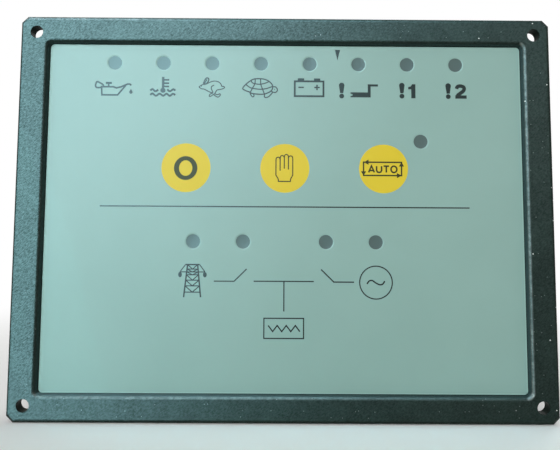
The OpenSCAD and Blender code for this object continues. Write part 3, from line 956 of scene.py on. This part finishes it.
class Artwork:
    """Flat print, drawn in millimetres and raised at the end as one closed piece.

    It is drawn with x to the right and y up from an origin, at first the film's centre.
    """

    ROUND = 40
    BEND = 6
    MITRE = 2.5
    SUNK_MM = 0.02
    WELD_MM = 1e-4

    def __init__(self) -> None:
        """Start with an empty sheet."""
        self.sheet = bmesh.new()
        self.origin = Vector((0, 0))

    @contextmanager
    def around(self, place: Point) -> Iterator[None]:
        """Draw round another origin for a while.

        Args:
            place: Where it is, from the origin so far.
        """
        before = self.origin
        self.origin = before + Vector(place)
        yield
        self.origin = before

    def _placed(self, point: Point) -> Point:
        """Shift a point by the origin."""
        x, y = point
        return self.origin.x + x, self.origin.y + y

    def disc(self, centre: Point, radius: float, tall: float = 1.0) -> None:
        """Fill a circle or an ellipse.

        Args:
            centre: Its middle.
            radius: Half its width.
            tall: Height over width.
        """
        bmesh.ops.create_circle(
            self.sheet, cap_ends=True, segments=self.ROUND, radius=radius, matrix=self._at(centre, tall)
        )

    def ring(
        self, centre: Point, radius: float, line: float, tall: float = 1.0, swell: float = 0.0
    ) -> None:
        """Draw a circle or an ellipse as a line.

        Args:
            centre: Its middle.
            radius: Half its width, to the middle of the line.
            line: Width of the line.
            tall: Height over width.
            swell: How much wider the line is at the sides, taken from the inside.
        """
        loops: list[bmesh.types.BMEdge] = []
        for side, inward in ((-0.5, swell), (0.5, 0.0)):
            half_w = radius + side * line - inward
            half_h = tall * radius + side * line
            made = bmesh.ops.create_circle(
                self.sheet, segments=self.ROUND, radius=half_w, matrix=self._at(centre, half_h / half_w)
            )
            loops += list({edge for vert in made["verts"] for edge in vert.link_edges})
        bmesh.ops.bridge_loops(self.sheet, edges=loops)

    def patch(self, corners: Iterable[Point]) -> None:
        """Fill an outline with sharp corners."""
        self.sheet.faces.new([self.sheet.verts.new((*self._placed(corner), 0)) for corner in corners])

    def line(
        self, corners: Iterable[Point], width: float, curved: bool = False, closed: bool = False
    ) -> None:
        """Draw a line of even width by carrying its cross edge from point to point.

        Args:
            corners: Points that the line passes through.
            width: Its width.
            curved: Whether it runs smoothly through them.
            closed: Whether it comes back to its start.
        """
        ribs = self._ribs(self._path(corners, curved, closed), width / 2, closed)
        pair = [self.sheet.verts.new((*end, 0)) for end in ribs[0]]
        self.sheet.edges.new(pair)
        for rib in ribs[1:] + (ribs[:1] if closed else []):
            grown = bmesh.ops.extrude_edge_only(self.sheet, edges=[self.sheet.edges.get(pair)])["geom"]
            fresh = [part for part in grown if isinstance(part, bmesh.types.BMVert)]
            pair = [min(fresh, key=lambda vert: (vert.co - old.co).length) for old in pair]
            for vert, end in zip(pair, rib):
                vert.co = (*end, 0)

    def _at(self, centre: Point, tall: float) -> Matrix:
        """Place and stretch of a round shape."""
        return Matrix.Translation((*self._placed(centre), 0)) @ Matrix.Diagonal((1, tall, 1, 1))

    def _path(self, corners: Iterable[Point], curved: bool, closed: bool) -> list[Vector]:
        """Lead a line through its corners.

        Args:
            corners: Points that it passes through.
            curved: Whether it runs smoothly through them.
            closed: Whether it comes back to its start.

        Returns:
            The points of the line.
        """
        points = [Vector(self._placed(corner)) for corner in corners]
        if not curved:
            return points
        count = len(points)
        path: list[Vector] = []
        for i in range(count if closed else count - 1):
            a, b = points[i], points[(i + 1) % count]
            before = points[i - 1] if closed or i else a
            after = points[(i + 2) % count] if closed or i + 2 < count else b
            bend = interpolate_bezier(a, a + (b - before) / 6, b - (after - a) / 6, b, self.BEND)
            path += bend[:-1]
        return path if closed else path + [points[-1]]

    def _ribs(self, path: Sequence[Vector], half: float, closed: bool) -> list[tuple[Vector, Vector]]:
        """Find the cross edge at each point of a line, mitred at its corners.

        Args:
            path: The points of the line.
            half: Half its width.
            closed: Whether it comes back to its start.

        Returns:
            The two ends of each cross edge.
        """
        count = len(path)
        ribs = []
        for i, here in enumerate(path):
            ahead = path[(i + 1) % count] - here if closed or i + 1 < count else None
            behind = here - path[i - 1] if closed or i else None
            turn = [step.normalized() for step in (behind, ahead) if step is not None]
            along = sum(turn, Vector((0, 0))).normalized()
            side = Vector((-along.y, along.x))
            reach = half * min(1 / max(along.dot(turn[0]), 0.1), self.MITRE)
            ribs.append((here + side * reach, here - side * reach))
        return ribs

    def _merged(self) -> bmesh.types.BMesh:
        """Make overlapping shapes one.

        Returns:
            The drawing, without overlaps.
        """
        bmesh.ops.triangulate(self.sheet, faces=self.sheet.faces)
        self.sheet.normal_update()
        outlines: list[list[Vector]] = []
        for face in self.sheet.faces:
            outline = [loop.vert.co.to_2d() for loop in face.loops]
            outlines.append(outline if face.normal.z > 0 else outline[::-1])
        points: list[Vector] = []
        rings: list[list[int]] = []
        for outline in outlines:
            rings.append(list(range(len(points), len(points) + len(outline))))
            points += outline
        verts, _, faces, _, _, owners = delaunay_2d_cdt(points, [], rings, 1, self.WELD_MM)
        flat = bmesh.new()
        made = [flat.verts.new((*vert, 0)) for vert in verts]
        for face, owner in zip(faces, owners):
            if owner:
                flat.faces.new([made[i] for i in face])
        loose = [vert for vert in flat.verts if not vert.link_faces]
        bmesh.ops.delete(flat, geom=loose, context="VERTS")
        return flat

    def raise_print(self, name: str, face_y: float, proud_mm: float, ink: Finish) -> None:
        """Raise the drawing off the film as one piece, stood up in the shared frame.

        Args:
            name: Name of the piece.
            face_y: Where the film's front face is, in metres.
            proud_mm: How far the print stands off that face.
            ink: Its finish.
        """
        flat = self._merged()
        grown = bmesh.ops.extrude_face_region(flat, geom=flat.faces[:], use_keep_orig=True)["geom"]
        top = [part for part in grown if isinstance(part, bmesh.types.BMVert)]
        bmesh.ops.translate(flat, verts=top, vec=(0, 0, proud_mm + self.SUNK_MM))
        back = Matrix.Translation((0, face_y + self.SUNK_MM * MM, 0))
        stand = back @ Matrix.Rotation(math.pi / 2, 4, "X")
        bmesh.ops.transform(flat, matrix=stand @ Matrix.Scale(MM, 4), verts=flat.verts)
        bmesh.ops.recalc_face_normals(flat, faces=flat.faces)
        mesh = bpy.data.meshes.new(name)
        flat.to_mesh(mesh)
        flat.free()
        self.sheet.free()
        piece = bpy.data.objects.new(name, mesh)
        bpy.context.scene.collection.objects.link(piece)
        ink.dress(piece)
        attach(piece, Body.CONTROLLER.value)
        log.info("%s: %d faces", name, len(mesh.polygons))


@dataclass
class Facia:
    """Everything printed on the film. Sizes are in millimetres from the film's centre."""

    window_r: float = 2.52
    key_r: float = 8.86
    legend_z: float = 46.5
    fine: float = 0.42
    rule: float = 0.45
    middling: float = 0.52
    bold: float = 0.62
    window_proud: float = 0.012
    ink_proud: float = 0.02
    key_ink_proud: float = 0.03
    face_y: float = field(init=False)

    ALARMS = (
        "oil_pressure", "coolant_heat", "overspeed", "underspeed",
        "charge_fault", "start_fault", "spare_alarm_one", "spare_alarm_two",
    )
    OTHER_LAMPS = ("auto", "mains_ready", "mains_load", "generator_load", "generator_ready")
    KEYS = ("stop", "manual", "auto")

    def __post_init__(self) -> None:
        """Take the film's front face from the frame."""
        self.face_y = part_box("facia_overlay")[0].y

    def _centre(self, node: str) -> Point:
        """Find the middle of a node, as the film shows it.

        Args:
            node: Name of the node.

        Returns:
            Its place on the film, in millimetres.
        """
        low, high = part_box(node)
        middle = (low + high) / (2 * MM)
        return middle.x, middle.z

    def lamp(self, name: str) -> Point:
        """Middle of a lamp."""
        return self._centre(f"{name}_lamp")

    def key(self, name: str) -> Point:
        """Middle of a key."""
        return self._centre(f"{name}_switch_plunger")

    def build(self) -> None:
        """Print windows, keys, legends and the mimic diagram, each as one piece."""
        sheets = (
            ("lamp_windows", self.windows, self.window_proud, WINDOW_INK),
            ("key_faces", self.key_faces, self.window_proud, KEY_INK),
            ("alarm_legend", self.alarm_legend, self.ink_proud, LINE_INK),
            ("key_legend", self.key_legend, self.key_ink_proud, KEY_LINE_INK),
            ("divider_rule", self.divider, self.ink_proud, LINE_INK),
            ("mimic_legend", self.mimic, self.ink_proud, LINE_INK),
        )
        for name, draw, proud_mm, ink in sheets:
            art = Artwork()
            draw(art)
            art.raise_print(name, self.face_y, proud_mm, ink)

    def windows(self, art: Artwork) -> None:
        """Draw the smoky windows over the lamps."""
        for name in self.ALARMS + self.OTHER_LAMPS:
            art.disc(self.lamp(name), self.window_r)

    def key_faces(self, art: Artwork) -> None:
        """Draw the yellow faces of the three keys."""
        for name in self.KEYS:
            art.disc(self.key(name), self.key_r)

    def alarm_legend(self, art: Artwork) -> None:
        """Draw the eight alarm symbols and the pointer above them.

        Args:
            art: Sheet that is drawn on.
        """
        draw = (
            self._oil_can, self._thermometer, self._hare, self._tortoise,
            self._battery, self._crank, self._spare_one, self._spare_two,
        )
        for name, symbol in zip(self.ALARMS, draw):
            with art.around((self.lamp(name)[0], self.legend_z)):
                symbol(art)
        pointer = ((18.12, 60.9), (19.98, 60.9), (19.05, 56.95))
        art.patch(pointer)

    def _oil_can(self, art: Artwork) -> None:
        """Draw an oil can with a drop at its spout.

        Args:
            art: Sheet that is drawn on.
        """
        lid = 0.8
        drop_r = 0.6
        can = ((6.1, 0.65), (5.6, 1.1), (4.8, 1.15), (2.3, 0.05), (0.7, -0.3), (-0.5, 0.1),
               (-4.7, 0.1), (-4.5, -2.9), (1.2, -2.9), (4.1, 0.7))
        handle = ((-4.7, -0.2), (-6.4, -0.2), (-6.9, 0.5), (-6.6, 1.7), (-6.0, 1.9),
                  (-4.3, 0.9), (-4.0, 0.2))
        art.line(can, self.bold)
        art.line(handle, self.bold, curved=True)
        art.line(((-2.1, 0.1), (-2.1, 1.5)), self.bold)
        art.line(((-3.2, 1.5), (-1.0, 1.5)), lid)
        art.disc((6.0, -1.85), drop_r)
        art.patch(((5.45, -1.65), (6.55, -1.65), (6.0, -0.6)))

    def _thermometer(self, art: Artwork) -> None:
        """Draw a thermometer standing in waves.

        Args:
            art: Sheet that is drawn on.
        """
        stem = 0.88
        bulb_r = 0.95
        ripple = 0.72
        art.line(((-0.1, 3.9), (-0.1, -1.0)), stem)
        art.disc((-0.1, -1.1), bulb_r)
        for height in (2.8, 1.55, 0.35):
            art.line(((-0.1, height), (2.1, height)), self.bold)
        left = ((-4.7, -1.2), (-3.9, -0.7), (-2.9, -1.45), (-1.8, -0.85))
        right = ((1.4, -0.7), (2.4, -1.45), (3.6, -0.7), (4.4, -1.2))
        low = ((-4.7, -2.8), (-3.9, -2.3), (-2.6, -3.1), (-1.3, -2.35), (0.0, -3.1),
               (1.2, -2.35), (2.4, -3.1), (3.5, -2.35), (4.4, -2.8))
        for wave in (left, right, low):
            art.line(wave, ripple, curved=True)

    @staticmethod
    def _hare(art: Artwork) -> None:
        """Draw a running hare, for too fast.

        Args:
            art: Sheet that is drawn on.
        """
        pen = 0.38
        ear_pen = 0.47
        fold_pen = 0.4
        eye_r = 0.18
        ear = ((-3.1, 1.5), (-2.65, 2.85), (-2.0, 3.6), (-1.3, 3.3), (-1.4, 2.4), (-2.3, 1.4))
        back = ((-4.8, 0.25), (-3.5, 1.1), (-2.4, 1.25), (-0.4, 2.2), (1.1, 2.45), (2.4, 2.1),
                (3.2, 1.3), (3.5, 0.45))
        tail = ((3.5, 0.5), (4.15, 0.5), (4.5, 0.1), (3.9, -0.35), (2.6, -0.7), (1.8, -0.8))
        chest = ((-4.8, 0.25), (-3.9, -0.4), (-2.8, -0.6), (-1.1, -1.5), (0.35, -2.0))
        haunch = ((0.75, 0.95), (-0.1, 0.5), (-0.3, -0.2), (0.0, -1.05), (0.4, -1.8))
        fore = ((0.35, -2.0), (-0.65, -2.35), (-1.0, -3.1), (-0.5, -3.2), (0.3, -2.6), (1.1, -2.2))
        hind = ((1.8, -0.8), (1.3, -1.6), (1.1, -2.2), (1.85, -2.6), (2.85, -2.25), (2.95, -2.8),
                (2.25, -3.45), (1.5, -3.2), (0.4, -2.4))
        for curve in (back, tail, chest, haunch, fore, hind):
            art.line(curve, pen, curved=True)
        art.line(ear, ear_pen, curved=True, closed=True)
        art.line(((-2.8, 1.5), (-1.9, 3.1)), fold_pen)
        art.disc((-3.9, 0.5), eye_r)

    @staticmethod
    def _tortoise(art: Artwork) -> None:
        """Draw a tortoise, for too slow.

        Args:
            art: Sheet that is drawn on.
        """
        rim_pen = 0.46
        pen = 0.41
        eye_r = 0.17
        shell = ((-6.6, -0.2), (-5.5, 1.3), (-3.6, 2.8), (-2.0, 3.4), (0.8, 3.35), (2.8, 2.6), (4.1, 1.3),
                 (4.3, 0.4), (4.0, -0.7), (3.0, -1.55), (1.3, -2.2), (-0.5, -2.3), (-3.1, -2.05),
                 (-4.0, -1.55), (-5.5, -1.0))
        rows = (
            ((-3.6, 2.8), (-2.9, 1.8), (-0.25, 1.4), (2.3, 2.1), (2.8, 2.6)),
            ((-5.5, 1.3), (-4.2, 0.3), (-3.1, -0.1), (-0.5, -0.45), (1.9, -0.2), (4.25, 0.6)),
            ((-2.1, 3.4), (-2.2, 1.6), (-3.1, -0.15), (-3.85, -1.6)),
            ((-0.1, 3.4), (-0.05, 1.5), (0.6, -0.4), (1.3, -2.2)),
        )
        head = ((4.2, 0.4), (5.2, 0.5), (5.9, -0.2), (5.95, -1.0), (5.3, -1.6), (4.3, -1.45), (3.7, -1.05))
        hind = ((-4.0, -1.6), (-3.6, -2.6), (-3.0, -3.25), (-2.5, -3.0), (-2.65, -2.15))
        fore = ((1.45, -2.25), (1.3, -3.2), (1.9, -3.5), (3.0, -3.05), (4.3, -1.6))
        art.line(shell, rim_pen, curved=True, closed=True)
        for curve in rows + (head, hind, fore):
            art.line(curve, pen, curved=True)
        art.disc((5.0, -0.5), eye_r)

    def _battery(self, art: Artwork) -> None:
        """Draw a battery, for charge failure.

        Args:
            art: Sheet that is drawn on.
        """
        case_pen = 0.68
        pole_pen = 0.9
        pole_half = 1.15
        case = ((-5.4, -2.9), (5.05, -2.9), (5.05, 2.6), (-5.4, 2.6))
        art.line(case, case_pen, closed=True)
        for middle in (-3.15, 2.75):
            art.line(((middle - pole_half, 3.25), (middle + pole_half, 3.25)), pole_pen)
        minus = ((-4.1, 0.35), (-2.1, 0.35))
        plus = (((1.7, 0.35), (3.7, 0.35)), ((2.7, -0.65), (2.7, 1.35)))
        for stroke in (minus, *plus):
            art.line(stroke, self.middling)

    @staticmethod
    def _warning(art: Artwork) -> None:
        """Draw an exclamation mark.

        Args:
            art: Sheet that is drawn on.
        """
        head_r = 1.0
        tip = 0.58
        dot_r = 0.88
        art.disc((0, 1.2), head_r)
        art.patch(((-head_r, 1.2), (-tip, -1.65), (tip, -1.65), (head_r, 1.2)))
        art.disc((0, -2.75), dot_r)

    def _crank(self, art: Artwork) -> None:
        """Draw a warning and a starting handle, for start failure.

        Args:
            art: Sheet that is drawn on.
        """
        with art.around((-6.05, 0.0)):
            self._warning(art)
        crank = ((-2.85, -3.2), (-2.85, -2.7), (-2.1, -2.55), (-2.1, -2.05), (-2.85, -1.9),
                 (-2.85, -1.35), (3.45, -1.35), (3.45, 1.65), (7.2, 1.65), (7.2, 0.85),
                 (4.5, 0.85), (4.5, -3.2))
        art.patch(crank)

    def _spare_one(self, art: Artwork) -> None:
        """Draw a warning and a figure one.

        Args:
            art: Sheet that is drawn on.
        """
        with art.around((-1.85, 0.1)):
            self._warning(art)
        one = ((3.1, 1.8), (3.1, -3.4), (1.55, -3.4), (1.55, -0.1), (0.45, -0.1), (0.45, 0.75),
               (1.35, 0.95), (1.9, 1.8))
        art.patch(one)

    def _spare_two(self, art: Artwork) -> None:
        """Draw a warning and a figure two.

        Args:
            art: Sheet that is drawn on.
        """
        pen = 1.32
        foot_pen = 1.22
        with art.around((-2.7, 0.05)):
            self._warning(art)
        two = ((0.35, 0.2), (0.6, 0.85), (1.2, 1.2), (2.1, 1.2), (2.95, 0.85), (3.15, 0.2), (2.8, -0.6),
               (1.8, -1.4), (0.9, -2.1), (0.55, -2.7))
        art.line(two, pen, curved=True)
        art.line(((-0.15, -2.82), (4.0, -2.82)), foot_pen)

    def key_legend(self, art: Artwork) -> None:
        """Draw a ring, a hand and a loop on the keys: stop, manual and automatic.

        Args:
            art: Sheet that is drawn on.
        """
        for name, symbol in zip(self.KEYS, (self._stop_ring, self._hand, self._loop)):
            with art.around(self.key(name)):
                symbol(art)

    @staticmethod
    def _stop_ring(art: Artwork) -> None:
        """Draw a ring that is a little thicker at its sides.

        Args:
            art: Sheet that is drawn on.
        """
        radius = 3.47
        pen = 1.5
        tall = 1.03
        swell = 0.33
        art.ring((-0.1, -0.15), radius, pen, tall, swell)

    @staticmethod
    def _hand(art: Artwork) -> None:
        """Draw an open hand.

        Args:
            art: Sheet that is drawn on.
        """
        pen = 0.4
        tips = ((-2.45, 4.0), (-0.95, 4.6), (0.5, 5.0), (2.05, 4.5))
        gaps = (-3.2, -1.7, -0.2, 1.3, 2.85)
        feet = (-0.9, -0.15, -0.45)
        palm = ((-3.2, 3.1), (-3.2, -2.5), (-2.35, -3.9), (-2.3, -4.75), (2.0, -4.75), (2.1, -3.9),
                (2.85, -2.5), (2.85, 3.6))
        for left, right, (x, top) in zip(gaps, gaps[1:], tips):
            arch = ((left, top - 0.9), (left + 0.2, top - 0.25), (x, top), (right - 0.2, top - 0.25),
                    (right, top - 0.9))
            art.line(arch, pen, curved=True)
        for x, foot, top in zip(gaps[1:4], feet, (3.7, 4.1, 4.1)):
            art.line(((x, top), (x, foot)), pen)
        art.line(palm, pen)

    def _loop(self, art: Artwork) -> None:
        """Draw a loop of four arrows round the word for automatic.

        Args:
            art: Sheet that is drawn on.
        """
        left, right, top, low = -7.2, 6.5, 2.4, -2.4
        frame_line = ((left, low), (right, low), (right, top), (left, top))
        art.line(frame_line, self.middling, closed=True)
        arrow = ((0.0, 0.95), (1.65, 0.0), (0.0, -0.95))
        for place, turn in (((-5.4, top), 180), ((left, -0.9), -90), ((4.8, low), 0), ((right, 0.9), 90)):
            spin = Matrix.Rotation(math.radians(turn), 2)
            corners = [spin @ Vector(corner) + Vector(place) for corner in arrow]
            art.patch(corners)
        high, base, pen = 1.0, -1.3, 0.58
        letter_r, letter_tall = 1.05, 1.1
        strokes = (
            ((-5.4, base), (-4.35, high), (-3.3, base)),
            ((-4.9, -0.6), (-3.8, -0.6)),
            ((-2.5, high), (-2.5, -0.6), (-2.2, -1.15), (-1.6, base), (-1.0, -1.15), (-0.7, -0.6),
             (-0.7, high)),
            ((0.0, high), (2.0, high)),
            ((1.0, high), (1.0, base)),
        )
        for stroke in strokes:
            art.line(stroke, pen)
        art.ring((3.75, (high + base) / 2), letter_r, pen, letter_tall)

    def divider(self, art: Artwork) -> None:
        """Draw the rule between the keys and the mimic diagram."""
        art.line([(-66.2, 3.2), (66.4, 3.2)], self.rule)

    def mimic(self, art: Artwork) -> None:
        """Draw the diagram of mains, generator, switches and load.

        Args:
            art: Sheet that is drawn on.
        """
        mains_switch = ((-25.0, -23.3), (-17.8, -23.3), (-13.4, -18.95))
        bus = ((-10.85, -23.25), (10.5, -23.25))
        feed = ((-0.1, -23.25), (-0.1, -33.8))
        load = ((-7.1, -43.2), (6.9, -43.2), (6.9, -36.2), (-7.1, -36.2))
        teeth = [(-5.6 + 1.6 * i, -38.7 if i % 2 == 0 else -40.8) for i in range(8)]
        generator_switch = ((13.1, -19.0), (17.6, -23.4), (24.8, -23.4))
        generator = (self.lamp("generator_ready")[0], -23.5)
        generator_r = 5.8
        wave = ((-3.2, -0.5), (-2.4, 0.55), (-1.3, 0.7), (-0.1, -0.1), (1.3, -0.75), (2.4, -0.5),
                (3.1, 0.55))
        wave_pen = 0.5
        with art.around((self.lamp("mains_ready")[0], 0)):
            self._pylon(art)
        for path in (mains_switch, bus, feed):
            art.line(path, self.fine)
        art.line(load, self.fine, closed=True)
        for path in (teeth, generator_switch):
            art.line(path, self.rule)
        with art.around(generator):
            art.ring((0, 0), generator_r, self.fine)
            art.line(wave, wave_pen, curved=True)

    def _pylon(self, art: Artwork) -> None:
        """Draw a lattice tower with an insulator under each arm.

        Args:
            art: Sheet that is drawn on.
        """
        pen = 0.37
        top, arm, foot = -17.5, -20.1, -29.0
        top_half, foot_half = 1.78, 3.0
        peak_half, arm_half = 2.5, 4.45
        insulator = Vector((4.4, -21.05))
        insulator_r, insulator_tall = 0.65, 1.45
        slope = (foot_half - top_half) / (top - foot)
        levels = (top, -19.1, arm, -21.1, -23.0, -25.0, -27.2)

        def leg(height: float) -> float:
            """Half the width of the tower at a height."""
            return top_half + slope * (top - height)

        art.line(((-peak_half, top), (peak_half, top)), self.middling)
        art.line(((-arm_half, arm), (arm_half, arm)), pen)
        for side in (-1, 1):
            art.line(((side * leg(top), top), (side * leg(foot), foot)), self.middling)
            art.line(((side * peak_half, top), (side * arm_half, arm)), pen)
            art.disc((side * insulator.x, insulator.y), insulator_r, insulator_tall)
        for high, low in zip(levels, levels[1:]):
            art.line(((-leg(low), low), (leg(low), low)), pen)
            art.line(((-leg(high), high), (0, low), (leg(high), high)), pen)


@dataclass
class Dressing:
    """Finish of every solid that the frame brings."""

    finishes: dict[Slot, Finish] = field(default_factory=lambda: FINISHES)

    def build(self) -> None:
        """Finish each node by the slot that its own material names."""
        for name, solid in sorted(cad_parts.items()):
            slot = Slot(solid.data.materials[0].name)
            self.finishes[slot].dress(solid)
            log.info("%s: %s", name, self.finishes[slot].name)


@dataclass(frozen=True)
class Softbox:
    """Rectangular studio light."""

    name: str
    place: tuple[float, float, float]
    size: tuple[float, float]
    power: float
    colour: Colour = (1.0, 1.0, 1.0)
    roll: float = 0.0
    gloss_only: bool = False

    def build(self) -> None:
        """Hang the light and turn it to the object."""
        lamp = bpy.data.lights.new(self.name, "AREA")
        lamp.shape = "RECTANGLE"
        lamp.size, lamp.size_y = self.size
        lamp.energy = self.power
        lamp.color = self.colour
        holder = bpy.data.objects.new(self.name, lamp)
        turn = (-Vector(self.place)).to_track_quat("-Z", "Y").to_matrix().to_4x4()
        spin = Matrix.Rotation(math.radians(self.roll), 4, "Z")
        holder.matrix_world = Matrix.Translation(self.place) @ turn @ spin
        holder.visible_diffuse = not self.gloss_only
        holder.visible_camera = False
        bpy.context.scene.collection.objects.link(holder)


@dataclass
class Studio:
    """Pale floor, even surroundings, soft lights and the camera."""

    floor_half: float = 3.0
    floor_colour: Colour = (0.93, 0.93, 0.92)
    white: Colour = (1.0, 1.0, 1.0)
    fill: float = 0.42
    near: float = 0.12
    far: float = 0.4
    eye: tuple[float, float, float] = (-0.00245, -0.1952, -0.00649)
    pitch: float = 4.134
    yaw: float = -0.228
    roll: float = 0.337
    lens: float = 34.714
    sensor: float = 36.0
    shift: float = -0.0536
    clip: float = 0.005
    lights: tuple[Softbox, ...] = (
        Softbox("key_softbox", (-0.2, -0.95, 0.45), (0.8, 0.8), 6.4, (1.0, 1.0, 0.99)),
        Softbox("sheen_panel", (-0.37, -0.58, 0.4), (0.95, 3.0), 260.0, (0.465, 0.86, 1.0), -6.0, True),
        Softbox("side_glow", (0.36, -0.53, 0.17), (0.16, 0.28), 0.72, (0.8, 1.0, 0.95), 0.0, True),
        Softbox("back_softbox", (0.5, 0.8, 0.7), (0.8, 0.6), 5.0),
    )

    def build(self) -> None:
        """Set up everything that isn't part of the object."""
        self.floor()
        self.world()
        for light in self.lights:
            light.build()
        self.camera()
        bpy.context.scene.view_settings.view_transform = "Standard"

    @staticmethod
    def _seen(graph: Graph) -> Signal:
        """Find the rays that show the background.

        Args:
            graph: Tree that is being filled.

        Returns:
            One for rays from the camera, in gloss and through glass, 0 for the rest.
        """
        camera, gloss, through = (
            graph.node("ShaderNodeLightPath", output=f"Is {kind} Ray")
            for kind in ("Camera", "Glossy", "Transmission")
        )
        return camera.or_more(gloss).or_more(through)

    def floor(self) -> None:
        """Lay a pale floor that fades to plain white away from the object."""
        sheet = bmesh.new()
        bmesh.ops.create_grid(sheet, x_segments=1, y_segments=1, size=self.floor_half)
        bmesh.ops.translate(sheet, verts=sheet.verts, vec=(0, 0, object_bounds()[0].z))
        mesh = bpy.data.meshes.new("floor")
        sheet.to_mesh(mesh)
        sheet.free()
        floor = bpy.data.objects.new("floor", mesh)
        bpy.context.scene.collection.objects.link(floor)
        floor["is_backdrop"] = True
        floor.visible_glossy = False
        paint = bpy.data.materials.new("floor_paint")
        paint.use_nodes = True
        graph = Graph(paint.node_tree)
        pale = graph.node("ShaderNodeBsdfDiffuse", None, {"Color": (*self.floor_colour, 1.0)})
        white = graph.node("ShaderNodeEmission", None, {"Color": (*self.white, 1.0), "Strength": 1.0})
        share = graph.length(graph.point()).rise(self.near, self.far) * self._seen(graph)
        both = graph.node("ShaderNodeMixShader", None, {0: share, 1: pale, 2: white})
        graph.node("ShaderNodeOutputMaterial", None, {"Surface": both})
        mesh.materials.append(paint)

    def world(self) -> None:
        """Surround the object with an even fill that the camera sees as white."""
        world = bpy.data.worlds.new("surroundings")
        world.use_nodes = True
        bpy.context.scene.world = world
        graph = Graph(world.node_tree)
        seen = self._seen(graph)
        colour = (*self.white, 1.0)
        light = graph.node("ShaderNodeBackground", None, {"Color": colour, "Strength": self.fill})
        white = graph.node("ShaderNodeBackground", None, {"Color": colour, "Strength": 1.0})
        both = graph.node("ShaderNodeMixShader", None, {0: seen, 1: light, 2: white})
        graph.node("ShaderNodeOutputWorld", None, {"Surface": both})

    def camera(self) -> None:
        """Stand the camera where the photograph was taken from."""
        data = bpy.data.cameras.new("camera")
        data.lens = self.lens
        data.sensor_width = self.sensor
        data.shift_y = self.shift
        data.clip_start = self.clip
        holder = bpy.data.objects.new("camera", data)
        turns = ((self.yaw, "Z"), (90 + self.pitch, "X"), (self.roll, "Z"))
        stand = Matrix.Translation(self.eye)
        for angle, axis in turns:
            stand = stand @ Matrix.Rotation(math.radians(angle), 4, axis)
        holder.matrix_world = stand
        bpy.context.scene.collection.objects.link(holder)
        bpy.context.scene.camera = holder


def main() -> None:
    """Dress the frame, print the facia and light it."""
    logging.basicConfig(level=logging.INFO, format="%(name)s: %(message)s")
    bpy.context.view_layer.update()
    Dressing().build()
    Facia().build()
    Studio().build()


if __name__ == "__main__":
    main()
